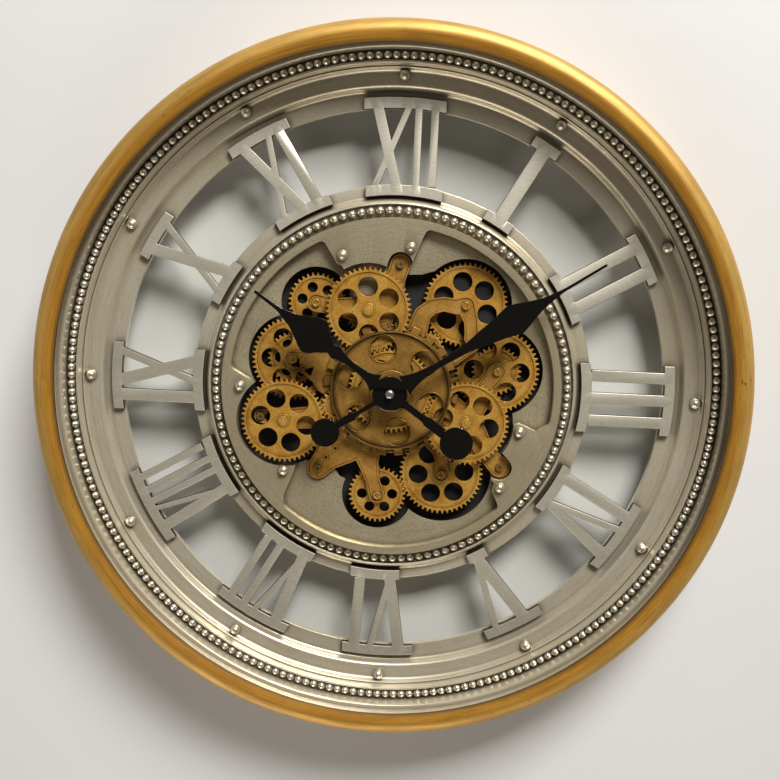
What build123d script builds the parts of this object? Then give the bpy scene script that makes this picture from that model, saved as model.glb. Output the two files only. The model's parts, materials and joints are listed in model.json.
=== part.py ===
"""Open-gear (skeleton) wall clock, 600 mm across and 80 mm deep.

Frame: +Z up through XII, +X to the right, the front faces -Y. The origin is on the dial axis, in the plane
of the wall behind the clock. Inside the script a depth is a distance from the wall, towards the viewer.
"""
from build123d import *
import math
import os

os.makedirs("parts", exist_ok=True)

# ---------------------------------------------------------------- driving dimensions, mm
RIM_R = 300.0            # outside of the rim
CLOCK_DEPTH = 79.8       # wall to the ridge of the rim
RIM_INNER_R = 279.9      # sight edge of the rim
GLASS_R = 292.0
GLASS_BACK = 72.5
GLASS_THICKNESS = 2.5
SEAT_DEPTH = 29.0        # the flat that the numerals stand on
SEAT_BACK = 24.0
WINDOW_OUTER_R = 236.5
WINDOW_INNER_R = 173.6
BAND_DEPTH = 36.0        # the flat with the ball rivets
BAND_INNER_R = 254.4
BAND_OUTER_R = 266.8
RIVET_CIRCLE_R = 262.3
BALL_R = 4.4
NUMERAL_THICKNESS = 5.0
OUTER_BEAD_CIRCLE_R = 276.7
OUTER_BEADS = 240
INNER_BEAD_CIRCLE_R = 152.5
INNER_BEADS = 120
BEAD_R = 3.25
DIAL_R = 146.2
DIAL_RIM_WIDTH = 6.4
DIAL_BACK = 34.5
DIAL_LOW = 37.0
DIAL_HIGH = 45.6

# depths of the going levels: (back, front)
FLOOR = (22.5, 24.5)
REAR_LEVEL = (27.2, 31.0)
MIDDLE_LEVEL = (32.0, 36.0)
BRIDGE = (37.0, 40.0)
CASTLE = (40.0, 42.6)
FRONT_LEVEL = (43.2, 47.0)
DISC = (48.2, 51.2)
HOUR_HAND = (64.0, 65.6)
MINUTE_HAND = (67.4, 69.0)

MODULE = 1.42            # of every gear in the tray
WORK_MODULE = 0.7        # of the motion work in the movement
RUNNING = 0.05           # radial running clearance of a shaft in its hole

# pan-head screws, all alike
SCREW_R = 1.4
SCREW_HEAD_R = 3.4
SCREW_HEAD = 1.8
SCREW_LENGTH = 12.0
CASE_SCREW_SEAT = 2.2
BRIDGE_SCREWS = [(3.5, 107.5), (98.0, -64.0), (-61.0, -73.0), (-112.5, -29.0)]

# teeth
BIG = 50
SMALL = 34
TOP_REAR = 30
RIGHT_REAR = 29
UPPER_LEFT_REAR = 32
SPLIT_PINION = 22
FRONT_IDLER = 18
UPPER_IDLER = 18
LEFT_IDLER = 21
MOTOR_PINION = 14
MINUTE_PINION, MINUTE_WHEEL, HOUR_PINION, HOUR_WHEEL = 10, 30, 8, 32


def level(depth):
    """The plane at a depth, parallel to the wall: local x right, y up and z to the viewer."""
    return Plane(origin=(0, -depth, 0), x_dir=(1, 0, 0), z_dir=(0, -1, 0))


# local x is the radius, local y the distance from the wall
RADIAL = Plane(origin=(0, 0, 0), x_dir=(1, 0, 0), z_dir=(0, 0, -1))


def polar(radius, angle, centre=(0, 0)):
    """A point at an angle in degrees, counter-clockwise from +X as seen from the front."""
    a = math.radians(angle)
    return (centre[0] + radius * math.cos(a), centre[1] + radius * math.sin(a))


def turned(x, y, angle):
    """The point (x, y) turned by an angle in degrees about the dial axis."""
    a = math.radians(angle)
    return (x * math.cos(a) - y * math.sin(a), x * math.sin(a) + y * math.cos(a))


def save(builder, name):
    builder.part.label = name
    export_step(builder.part, f"parts/{name}.step")


TRAY_SCREWS = [polar(145.2, 45 + 90 * i) for i in range(4)]
CASE_SCREWS = [polar(278, 60 * i) for i in range(6)]


# ---------------------------------------------------------------- gear train layout
def pitch_r(teeth, module=MODULE):
    return module * teeth / 2


def mesh_distance(a, b, module=MODULE):
    return pitch_r(a, module) + pitch_r(b, module)


def phase_of_mate(teeth_a, phase_a, angle, teeth_b):
    """Angle of a tooth of gear B that puts it in mesh with gear A, where B lies at `angle` from A."""
    pitch_a = 360 / teeth_a
    pitch_b = 360 / teeth_b
    offset_a = ((angle - phase_a) / pitch_a) % 1
    return angle + 180 - pitch_b * (0.5 - offset_a)


TOP_ANGLE = 107.9
LOWER_RIGHT_ANGLE = -20.9
LEFT_ANGLE = 198.6
UPPER_RIGHT_ANGLE = 50.9
UPPER_LEFT_ANGLE = 165.4
MOTOR_ANGLE = 270.0
TOP_LEFT_ANGLE = 174.6       # seen from the top wheel
RIGHT_ANGLE = 61.4           # seen from the lower right wheel
BOTTOM_RIGHT_ANGLE = 248.3   # seen from the lower right wheel
BOTTOM_ANGLE = 201.3         # seen from the bottom right wheel
INTERMEDIATE_ANGLE = 90.0    # in the movement

CENTRE = (0.0, 0.0)
TOP = polar(mesh_distance(BIG, BIG), TOP_ANGLE)
LOWER_RIGHT = polar(mesh_distance(BIG, BIG), LOWER_RIGHT_ANGLE)
LEFT_IDLER_AT = polar(mesh_distance(BIG, FRONT_IDLER), LEFT_ANGLE)
LEFT = polar(mesh_distance(FRONT_IDLER, BIG), LEFT_ANGLE, LEFT_IDLER_AT)
UPPER_IDLER_AT = polar(mesh_distance(BIG, UPPER_IDLER), UPPER_RIGHT_ANGLE)
UPPER_RIGHT = polar(mesh_distance(UPPER_IDLER, BIG), UPPER_RIGHT_ANGLE, UPPER_IDLER_AT)
UPPER_LEFT_IDLER_AT = polar(mesh_distance(BIG, LEFT_IDLER), UPPER_LEFT_ANGLE)
UPPER_LEFT = polar(mesh_distance(LEFT_IDLER, UPPER_LEFT_REAR), UPPER_LEFT_ANGLE, UPPER_LEFT_IDLER_AT)
TOP_LEFT = polar(mesh_distance(TOP_REAR, SMALL), TOP_LEFT_ANGLE, TOP)
RIGHT = polar(mesh_distance(SPLIT_PINION, BIG), RIGHT_ANGLE, LOWER_RIGHT)
BOTTOM_RIGHT = polar(mesh_distance(SPLIT_PINION, BIG), BOTTOM_RIGHT_ANGLE, LOWER_RIGHT)
BOTTOM = polar(mesh_distance(BIG, SMALL), BOTTOM_ANGLE, BOTTOM_RIGHT)
MOTOR = polar(mesh_distance(BIG, MOTOR_PINION), MOTOR_ANGLE)
INTERMEDIATE = polar(mesh_distance(MINUTE_PINION, MINUTE_WHEEL, WORK_MODULE), INTERMEDIATE_ANGLE)

PHASE_CENTRE = 0.0
PHASE_TOP = phase_of_mate(BIG, PHASE_CENTRE, TOP_ANGLE, BIG)
PHASE_TOP_LEFT = phase_of_mate(TOP_REAR, 0, TOP_LEFT_ANGLE, SMALL)
PHASE_LOWER_RIGHT = phase_of_mate(BIG, PHASE_CENTRE, LOWER_RIGHT_ANGLE, BIG)
PHASE_RIGHT = phase_of_mate(SPLIT_PINION, 0, RIGHT_ANGLE, BIG)
PHASE_BOTTOM_RIGHT = phase_of_mate(SPLIT_PINION, 0, BOTTOM_RIGHT_ANGLE, BIG)
PHASE_BOTTOM = phase_of_mate(BIG, PHASE_BOTTOM_RIGHT, BOTTOM_ANGLE, SMALL)
PHASE_LEFT_IDLER = phase_of_mate(BIG, PHASE_CENTRE, LEFT_ANGLE, FRONT_IDLER)
PHASE_LEFT = phase_of_mate(FRONT_IDLER, PHASE_LEFT_IDLER, LEFT_ANGLE, BIG)
PHASE_UPPER_IDLER = phase_of_mate(BIG, PHASE_CENTRE, UPPER_RIGHT_ANGLE, UPPER_IDLER)
PHASE_UPPER_RIGHT = phase_of_mate(UPPER_IDLER, PHASE_UPPER_IDLER, UPPER_RIGHT_ANGLE, BIG)
PHASE_UPPER_LEFT_IDLER = phase_of_mate(BIG, PHASE_CENTRE, UPPER_LEFT_ANGLE, LEFT_IDLER)
PHASE_UPPER_LEFT = phase_of_mate(LEFT_IDLER, PHASE_UPPER_LEFT_IDLER, UPPER_LEFT_ANGLE, UPPER_LEFT_REAR)
PHASE_MOTOR = phase_of_mate(BIG, PHASE_CENTRE, MOTOR_ANGLE, MOTOR_PINION)
PHASE_MINUTE_WHEEL = phase_of_mate(MINUTE_PINION, 0, INTERMEDIATE_ANGLE, MINUTE_WHEEL)
PHASE_HOUR_WHEEL = phase_of_mate(HOUR_PINION, 0, INTERMEDIATE_ANGLE + 180, HOUR_WHEEL)


def gear_points(teeth, phase, centre, module=MODULE):
    """The outline of a spur gear with straight flanks and plenty of backlash."""
    tip_r = pitch_r(teeth, module) + 0.9 * module
    root_r = pitch_r(teeth, module) - 1.15 * module
    tip_half = math.degrees(0.28 * module / tip_r)
    root_half = math.degrees(0.95 * module / root_r)
    points = []
    for tooth in range(teeth):
        middle = phase + 360 * tooth / teeth
        points.append(polar(root_r, middle - root_half, centre))
        points.append(polar(tip_r, middle - tip_half, centre))
        points.append(polar(tip_r, middle + tip_half, centre))
        points.append(polar(root_r, middle + root_half, centre))
    return points


def rotating_part(name, centre, gears, shafts=(), bore=0, holes=None, web=None, slot=None):
    """One moulded piece that turns: gears and round shafts on one axis, with an optional bore.

    gears: (teeth, phase, (back, front), module); shafts: (radius, back, front).
    holes: (count, circle radius, hole radius, first angle); web: (outer radius, hub radius, depth, front).
    slot: (radius of the driver recess, front) cuts a cross in the front end.
    """
    with BuildPart() as piece:
        for teeth, phase, (back, front), module in gears:
            with BuildSketch(level(back)):
                with BuildLine():
                    Polyline(*gear_points(teeth, phase, centre, module), close=True)
                make_face()
            extrude(amount=front - back)
        for radius, back, front in shafts:
            with BuildSketch(level(back)):
                with Locations(centre):
                    Circle(radius)
            extrude(amount=front - back)
        if web:
            outer, hub, depth, front = web
            with BuildSketch(level(front - depth)):
                with Locations(centre):
                    Circle(outer)
                    Circle(hub, mode=Mode.SUBTRACT)
            extrude(amount=depth, mode=Mode.SUBTRACT)
        if holes:
            count, circle_r, hole_r, first, (back, front) = holes
            with BuildSketch(level(back)):
                for i in range(count):
                    with Locations(polar(circle_r, first + 360 * i / count, centre)):
                        Circle(hole_r)
            extrude(amount=front - back, mode=Mode.SUBTRACT)
        if bore:
            with BuildSketch(level(0)):
                with Locations(centre):
                    Circle(bore)
            extrude(amount=CLOCK_DEPTH, mode=Mode.SUBTRACT)
        if slot:
            radius, front = slot
            with BuildSketch(level(front - 0.6)):
                with Locations(centre):
                    Rectangle(2 * radius, 0.35 * radius)
                    Rectangle(0.35 * radius, 2 * radius)
            extrude(amount=0.6, mode=Mode.SUBTRACT)
    save(piece, name)


PIVOT_R = 1.5            # rear pivots, in the tray floor
FRONT_PIVOT_R = 1.8      # front pivots, in the bridge
ARBOR_R = 3.0
BOSS_R = 4.3             # collar in front of a wheel that is carried before the bridge
SPACER_R = 9.0           # between the two gears of one moulding
WEB_DEPTH = 0.9
STUD_R = 2.2             # stud on the tray that the upper left idler turns on
CAP_R = 3.4              # the head in front of a bridge arm
PIVOT_END = FLOOR[0] + 0.2
CAP_FRONT = BRIDGE[1] + 1.8
CAP_SLOT = (1.9, CAP_FRONT)
BIG_WEB_R = 32.0
BIG_HUB_R = 6.0
SMALL_WEB_R = 20.6
SMALL_HUB_R = 6.5
WIDE_HUB_R = 7.0         # of the wheels without a second gear behind them
BIG_HOLES = (6, 20.2, 8.4)
SMALL_HOLES = (6, 13.3, 4.5)
CENTRE_TUBE_R = 7.0
CENTRE_HUB_R = 10.5
TUBE_GAP = 0.5           # round the centre tube in the fixed pieces
BUSH_R = 4.0


def behind_bridge(front):
    """Shafts of a wheel that turns between the tray floor and a bridge arm, with a slotted cap in front."""
    return [
        (PIVOT_R, PIVOT_END, REAR_LEVEL[0]),
        (ARBOR_R, FLOOR[1] + 0.6, front + 0.5),
        (FRONT_PIVOT_R, front, BRIDGE[1] + 0.6),
        (CAP_R, BRIDGE[1] + 0.4, CAP_FRONT),
    ]


def through_bridge():
    """Shafts of an arbor that carries a wheel in front of the bridge."""
    return [
        (PIVOT_R, PIVOT_END, REAR_LEVEL[0]),
        (ARBOR_R, FLOOR[1] + 0.6, BRIDGE[0] - 0.5),
        (FRONT_PIVOT_R, BRIDGE[0] - 1, FRONT_LEVEL[1] + 0.4),
    ]


def in_front_of_bridge():
    """Shafts of a wheel that is pushed in from the front, with a plain arbor right down to the tray."""
    return [
        (PIVOT_R, PIVOT_END, REAR_LEVEL[0]),
        (FRONT_PIVOT_R, REAR_LEVEL[0], FRONT_LEVEL[0] + 1),
    ]


# ---- centre wheel: three pieces on one tube
rotating_part(
    "centre_arbor", CENTRE,
    gears=[(BIG, PHASE_CENTRE, REAR_LEVEL, MODULE)],
    shafts=[(CENTRE_TUBE_R, REAR_LEVEL[0], DISC[1])],
    bore=BUSH_R + RUNNING,
    holes=(*BIG_HOLES, 30, REAR_LEVEL),
)
rotating_part(
    "centre_gear", CENTRE,
    gears=[(BIG, PHASE_CENTRE, FRONT_LEVEL, MODULE)],
    shafts=[(CENTRE_HUB_R, FRONT_LEVEL[1], DISC[0])],
    bore=CENTRE_TUBE_R,
    holes=(*BIG_HOLES, 0, FRONT_LEVEL),
    web=(BIG_WEB_R, CENTRE_HUB_R + 0.5, WEB_DEPTH, FRONT_LEVEL[1]),
)

DISC_R = 51.2
DISC_WEB_R = 49.7
DISC_WEB_DEPTH = 1.1
DISC_HUB_R = 18.0
DISC_HOLES = (6, 36.6, 11.4)
with BuildPart() as centre_disc:
    with BuildSketch(level(DISC[0])):
        Circle(DISC_R)
        Circle(CENTRE_TUBE_R, mode=Mode.SUBTRACT)
        for i in range(DISC_HOLES[0]):
            with Locations(polar(DISC_HOLES[1], -18 + 60 * i)):
                Circle(DISC_HOLES[2], mode=Mode.SUBTRACT)
    extrude(amount=DISC[1] - DISC[0])
    with BuildSketch(level(DISC[1] - DISC_WEB_DEPTH)):
        Circle(DISC_WEB_R)
        Circle(DISC_HUB_R, mode=Mode.SUBTRACT)
    extrude(amount=DISC_WEB_DEPTH, mode=Mode.SUBTRACT)
save(centre_disc, "centre_disc")

# ---- top wheel, driven by the centre wheel, with a rear gear for the small top left wheel
rotating_part(
    "top_gear", TOP,
    gears=[(BIG, PHASE_TOP, FRONT_LEVEL, MODULE)],
    shafts=[(BOSS_R, FRONT_LEVEL[1] - 1, FRONT_LEVEL[1] + 1.2)],
    bore=FRONT_PIVOT_R,
    holes=(*BIG_HOLES, 33, FRONT_LEVEL),
    web=(BIG_WEB_R, BIG_HUB_R, WEB_DEPTH, FRONT_LEVEL[1]),
)
rotating_part(
    "top_arbor", TOP,
    gears=[(TOP_REAR, 0, REAR_LEVEL, MODULE)],
    shafts=through_bridge(),
)
rotating_part(
    "top_left_gear", TOP_LEFT,
    gears=[(SMALL, PHASE_TOP_LEFT, REAR_LEVEL, MODULE)],
    shafts=behind_bridge(MIDDLE_LEVEL[1]),
    holes=(*SMALL_HOLES, 50, REAR_LEVEL),
    web=(SMALL_WEB_R, SMALL_HUB_R, WEB_DEPTH, REAR_LEVEL[1]),
    slot=CAP_SLOT,
)

# ---- lower right wheel, whose rear pinion drives the right and bottom right wheels
rotating_part(
    "lower_right_gear", LOWER_RIGHT,
    gears=[(BIG, PHASE_LOWER_RIGHT, FRONT_LEVEL, MODULE)],
    shafts=[(BOSS_R, FRONT_LEVEL[1] - 1, FRONT_LEVEL[1] + 1.2)],
    bore=FRONT_PIVOT_R,
    holes=(*BIG_HOLES, -11, FRONT_LEVEL),
    web=(BIG_WEB_R, BIG_HUB_R, WEB_DEPTH, FRONT_LEVEL[1]),
)
rotating_part(
    "lower_right_arbor", LOWER_RIGHT,
    gears=[(SPLIT_PINION, 0, MIDDLE_LEVEL, MODULE)],
    shafts=through_bridge(),
)
rotating_part(
    "right_gear", RIGHT,
    gears=[(BIG, PHASE_RIGHT, MIDDLE_LEVEL, MODULE), (RIGHT_REAR, 0, REAR_LEVEL, MODULE)],
    shafts=behind_bridge(MIDDLE_LEVEL[1]) + [(SPACER_R, REAR_LEVEL[1], MIDDLE_LEVEL[0])],
    holes=(*BIG_HOLES, -2, MIDDLE_LEVEL),
    web=(BIG_WEB_R, BIG_HUB_R, WEB_DEPTH, MIDDLE_LEVEL[1]),
    slot=CAP_SLOT,
)
rotating_part(
    "bottom_right_gear", BOTTOM_RIGHT,
    gears=[(BIG, PHASE_BOTTOM_RIGHT, MIDDLE_LEVEL, MODULE)],
    shafts=behind_bridge(MIDDLE_LEVEL[1]),
    holes=(*BIG_HOLES, 6, MIDDLE_LEVEL),
    web=(BIG_WEB_R, WIDE_HUB_R, WEB_DEPTH, MIDDLE_LEVEL[1]),
    slot=CAP_SLOT,
)
rotating_part(
    "bottom_gear", BOTTOM,
    gears=[(SMALL, PHASE_BOTTOM, MIDDLE_LEVEL, MODULE)],
    shafts=behind_bridge(MIDDLE_LEVEL[1]),
    holes=(*SMALL_HOLES, 1.5, MIDDLE_LEVEL),
    web=(SMALL_WEB_R, SMALL_HUB_R, WEB_DEPTH, MIDDLE_LEVEL[1]),
    slot=CAP_SLOT,
)

# ---- left wheel with its idler, in front of the bridge
rotating_part(
    "left_idler", LEFT_IDLER_AT,
    gears=[(FRONT_IDLER, PHASE_LEFT_IDLER, FRONT_LEVEL, MODULE)],
    shafts=in_front_of_bridge(),
)
rotating_part(
    "left_gear", LEFT,
    gears=[(BIG, PHASE_LEFT, FRONT_LEVEL, MODULE)],
    shafts=in_front_of_bridge() + [(BOSS_R, FRONT_LEVEL[1] - 1, FRONT_LEVEL[1] + 1.4)],
    holes=(*BIG_HOLES, -10, FRONT_LEVEL),
    web=(BIG_WEB_R, BIG_HUB_R, WEB_DEPTH, FRONT_LEVEL[1]),
    slot=(2.2, FRONT_LEVEL[1] + 1.4),
)

# ---- upper right and upper left wheels, each behind an idler of its own at the rear level
rotating_part(
    "upper_right_idler", UPPER_IDLER_AT,
    gears=[(UPPER_IDLER, PHASE_UPPER_IDLER, REAR_LEVEL, MODULE)],
    shafts=behind_bridge(MIDDLE_LEVEL[1])[:2] + [(FRONT_PIVOT_R, MIDDLE_LEVEL[1], BRIDGE[1] - 0.2)],
)
rotating_part(
    "upper_right_gear", UPPER_RIGHT,
    gears=[(BIG, PHASE_UPPER_RIGHT, REAR_LEVEL, MODULE)],
    shafts=behind_bridge(MIDDLE_LEVEL[1]),
    holes=(*BIG_HOLES, -20, REAR_LEVEL),
    web=(BIG_WEB_R, WIDE_HUB_R, WEB_DEPTH, REAR_LEVEL[1]),
    slot=CAP_SLOT,
)
rotating_part(
    "upper_left_idler", UPPER_LEFT_IDLER_AT,
    gears=[(LEFT_IDLER, PHASE_UPPER_LEFT_IDLER, REAR_LEVEL, MODULE)],
    bore=STUD_R + RUNNING,
)
rotating_part(
    "upper_left_gear", UPPER_LEFT,
    gears=[(BIG, 0, MIDDLE_LEVEL, MODULE), (UPPER_LEFT_REAR, PHASE_UPPER_LEFT, REAR_LEVEL, MODULE)],
    shafts=behind_bridge(MIDDLE_LEVEL[1]) + [(SPACER_R, REAR_LEVEL[1], MIDDLE_LEVEL[0])],
    holes=(*BIG_HOLES, 0, MIDDLE_LEVEL),
    web=(BIG_WEB_R, BIG_HUB_R, WEB_DEPTH, MIDDLE_LEVEL[1]),
    slot=CAP_SLOT,
)

# ---------------------------------------------------------------- gear motor
MOTOR_R = 12.5
MOTOR_BOSS_R = 4.0
MOTOR_SHAFT_R = 1.5
MOTOR_BACK = 7.0
rotating_part(
    "motor_pinion", MOTOR,
    gears=[(MOTOR_PINION, PHASE_MOTOR, REAR_LEVEL, MODULE)],
    shafts=[(MOTOR_SHAFT_R, MOTOR_BACK + 6, REAR_LEVEL[0])],
)
with BuildPart() as gear_motor:
    with BuildSketch(level(MOTOR_BACK)):
        with Locations(MOTOR):
            Circle(MOTOR_R)
            Rectangle(2 * MOTOR_R + 10, 8)
    extrude(amount=FLOOR[0] - MOTOR_BACK)
    with BuildSketch(level(FLOOR[0])):
        with Locations(MOTOR):
            Circle(MOTOR_BOSS_R)
    extrude(amount=FLOOR[1] - FLOOR[0])
    with BuildSketch(level(MOTOR_BACK + 5.5)):
        with Locations(MOTOR):
            Circle(MOTOR_SHAFT_R + RUNNING)
    extrude(amount=FLOOR[1] - MOTOR_BACK, mode=Mode.SUBTRACT)
save(gear_motor, "gear_motor")

# ---------------------------------------------------------------- quartz movement, motion work and hands
CASE_BACK = 4.3
CASE_FRONT = FLOOR[0] - 0.2
CASE_W = 56.0
CASE_LOW, CASE_HIGH = -29.5, 27.5
CASE_WALL = 1.5
LID_DEPTH = CASE_BACK + 1.5
CELL_R = 7.2
CELL_LENGTH = 49.5
CELL_NIB = 1.0
CELL_WINDOW = (44.2, 9.0)     # opening of the lid over the cell
CELL_Y = -20.2
BUSH_FRONT = 57.0
HOUR_TUBE_R = 3.0
MINUTE_SHAFT_R = 2.0
MINUTE_WORK = (8.0, 11.0)      # minute pinion and minute wheel
HOUR_WORK = (12.0, 15.0)       # hour pinion and hour wheel

CASE_MIDDLE = (CASE_LOW + CASE_HIGH) / 2
CASE_H = CASE_HIGH - CASE_LOW
with BuildPart() as movement_case:
    with BuildSketch(level(LID_DEPTH)):
        with Locations((0, CASE_MIDDLE)):
            RectangleRounded(CASE_W, CASE_H, 3)
    extrude(amount=CASE_FRONT - LID_DEPTH)
    with BuildSketch(level(LID_DEPTH)):
        with Locations((0, CASE_MIDDLE)):
            RectangleRounded(CASE_W - 2 * CASE_WALL, CASE_H - 2 * CASE_WALL, 1.5)
    extrude(amount=CASE_FRONT - LID_DEPTH - CASE_WALL, mode=Mode.SUBTRACT)
    with BuildSketch(level(CASE_FRONT - CASE_WALL)):
        Circle(BUSH_R)
    extrude(amount=BUSH_FRONT - CASE_FRONT + CASE_WALL)
    with BuildSketch(level(0)):
        Circle(HOUR_TUBE_R + RUNNING)
    extrude(amount=BUSH_FRONT, mode=Mode.SUBTRACT)
    # the post that the minute wheel turns on
    with BuildSketch(level(HOUR_WORK[1] + 0.5)):
        with Locations(INTERMEDIATE):
            Circle(3.0)
            Circle(1.2 + RUNNING, mode=Mode.SUBTRACT)
    extrude(amount=CASE_FRONT - HOUR_WORK[1] - 0.5)
save(movement_case, "movement_case")

with BuildPart() as movement_lid:
    with BuildSketch(level(CASE_BACK)):
        with Locations((0, CASE_MIDDLE)):
            RectangleRounded(CASE_W, CASE_H, 3)
        with Locations(INTERMEDIATE):
            Circle(1.5 + RUNNING, mode=Mode.SUBTRACT)
        with Locations((0, CELL_Y)):
            Rectangle(*CELL_WINDOW, mode=Mode.SUBTRACT)
    extrude(amount=LID_DEPTH - CASE_BACK)
    with BuildSketch(level(LID_DEPTH)):
        Circle(3.4)
    extrude(amount=0.9)
    with BuildSketch(level(LID_DEPTH - 0.6)):
        Circle(1.5 + RUNNING)
    extrude(amount=2, mode=Mode.SUBTRACT)
save(movement_lid, "movement_lid")

rotating_part(
    "minute_shaft", CENTRE,
    gears=[(MINUTE_PINION, 0, MINUTE_WORK, WORK_MODULE)],
    shafts=[(1.5, LID_DEPTH - 0.5, MINUTE_WORK[0]), (MINUTE_SHAFT_R, MINUTE_WORK[1], 69.4)],
)
rotating_part(
    "hour_wheel", CENTRE,
    gears=[(HOUR_WHEEL, PHASE_HOUR_WHEEL, HOUR_WORK, WORK_MODULE)],
    shafts=[(HOUR_TUBE_R, HOUR_WORK[1], HOUR_HAND[1] + 0.4)],
    bore=MINUTE_SHAFT_R + RUNNING,
)
rotating_part(
    "minute_wheel", INTERMEDIATE,
    gears=[(MINUTE_WHEEL, PHASE_MINUTE_WHEEL, MINUTE_WORK, WORK_MODULE),
           (HOUR_PINION, 0, HOUR_WORK, WORK_MODULE)],
    shafts=[(2.0, MINUTE_WORK[1], HOUR_WORK[0]), (1.2, HOUR_WORK[1], CASE_FRONT - CASE_WALL - 0.2),
            (1.5, 2.0, MINUTE_WORK[0])],
)

KNOB_R = 6.5
KNOB_RIBS = 18
with BuildPart() as setting_knob:
    with BuildSketch(level(1.0)):
        with Locations(INTERMEDIATE):
            Circle(KNOB_R)
            Circle(1.5, mode=Mode.SUBTRACT)
        for i in range(KNOB_RIBS):
            with Locations(polar(KNOB_R + 0.2, 360 * i / KNOB_RIBS, INTERMEDIATE)):
                Circle(0.6, mode=Mode.SUBTRACT)
    extrude(amount=3.0)
save(setting_knob, "setting_knob")

NUT_THICKNESS = 2.2
NUT_FLAT_R = 6.0
with BuildPart() as bush_nuts:
    for back in (FLOOR[1], DISC[1] + 0.4):
        with BuildSketch(level(back)):
            RegularPolygon(NUT_FLAT_R, 6, major_radius=False)
            Circle(BUSH_R, mode=Mode.SUBTRACT)
        extrude(amount=NUT_THICKNESS)
save(bush_nuts, "bush_nuts")


def build_hand(name, angle, back, front, blade, tail, hub_r, tail_disc, bore):
    """A hand pointing `angle` degrees clockwise from XII. blade and tail list (along, half width)."""

    def place(along, across):
        return turned(along, across, 90 - angle)

    with BuildPart() as hand:
        with BuildSketch(level(back)):
            for stretch in (*blade, tail):
                left = [place(a, h) for a, h in stretch]
                right = [place(a, -h) for a, h in reversed(stretch)]
                with BuildLine():
                    Polyline(*left, *right, close=True)
                make_face()
            Circle(hub_r)
            with Locations(place(tail_disc[0], 0)):
                Circle(tail_disc[1])
            Circle(bore, mode=Mode.SUBTRACT)
        extrude(amount=front - back)
    save(hand, name)


HUB_R = 14.4
MINUTE_ANGLE = 56.3
HOUR_ANGLE = 304.7
build_hand(
    "minute_hand", MINUTE_ANGLE, *MINUTE_HAND,
    blade=[
        [(10, 12.0), (16, 8.3), (22, 6.0), (28, 4.6), (35, 3.6), (48, 2.6), (62, 3.2), (75, 3.9), (89, 6.6),
         (102, 8.7), (121, 13.1)],
        [(121, 13.1), (131, 9.7), (137, 7.3), (145, 4.8), (153, 3.0), (161, 1.9), (170, 1.2), (206.5, 1.1)],
    ],
    tail=[(-9, 10.5), (-13, 4.0), (-17, 2.0), (-34, 1.7), (-36, 3.9), (-42, 3.3), (-52, 3.0), (-56, 4.0)],
    hub_r=HUB_R, tail_disc=(-63.9, 12.1), bore=MINUTE_SHAFT_R,
)
build_hand(
    "hour_hand", HOUR_ANGLE, *HOUR_HAND,
    blade=[
        [(10, 12.6), (14, 9.5), (19, 6.0), (25, 3.9), (32, 3.0), (41, 2.6), (49, 3.7), (57, 6.2)],
        [(57, 6.2), (61.7, 4.7), (67, 8.0), (71, 11.0), (75, 14.8), (79, 16.5), (84, 15.4), (89, 12.5),
         (95, 9.5), (101, 6.1), (108, 4.2), (118, 1.7), (141, 1.4)],
    ],
    tail=[(-9, 10.5), (-14, 4.6), (-18, 3.0), (-35, 2.9), (-40, 4.3), (-52, 4.3), (-58, 4.6)],
    hub_r=HUB_R, tail_disc=(-70.3, 14.0), bore=HOUR_TUBE_R,
)

with BuildPart() as hand_nut:
    with BuildSketch(RADIAL):
        with BuildLine():
            Polyline((0, 69.4), (0, 71.6), (1.4, 71.6))
            RadiusArc((1.4, 71.6), (3.7, 70.2), 2.6)
            Polyline((3.7, 70.2), (3.7, 69.0), (2.0, 69.0), (2.0, 69.4), (0, 69.4))
        make_face()
    revolve(axis=Axis.Y)
save(hand_nut, "hand_nut")

# ---------------------------------------------------------------- rim, glass and rings
with BuildPart() as gold_rim:
    with BuildSketch(RADIAL):
        with BuildLine():
            Line((RIM_R, 0), (RIM_R, 66))
            ThreePointArc((RIM_R, 66), (297.2, 75.6), (289.2, CLOCK_DEPTH))
            ThreePointArc((289.2, CLOCK_DEPTH), (284.0, 78.9), (RIM_INNER_R, 76.4))
            Polyline((RIM_INNER_R, 76.4), (RIM_INNER_R, 75.2), (292.4, 75.2), (292.4, 72.2), (297, 72.2),
                     (297, 3), (285, 3), (285, 0), (RIM_R, 0))
        make_face()
    revolve(axis=Axis.Y)
save(gold_rim, "gold_rim")

with BuildPart() as front_glass:
    with BuildSketch(level(GLASS_BACK)):
        Circle(GLASS_R)
    extrude(amount=GLASS_THICKNESS)
save(front_glass, "front_glass")

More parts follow.
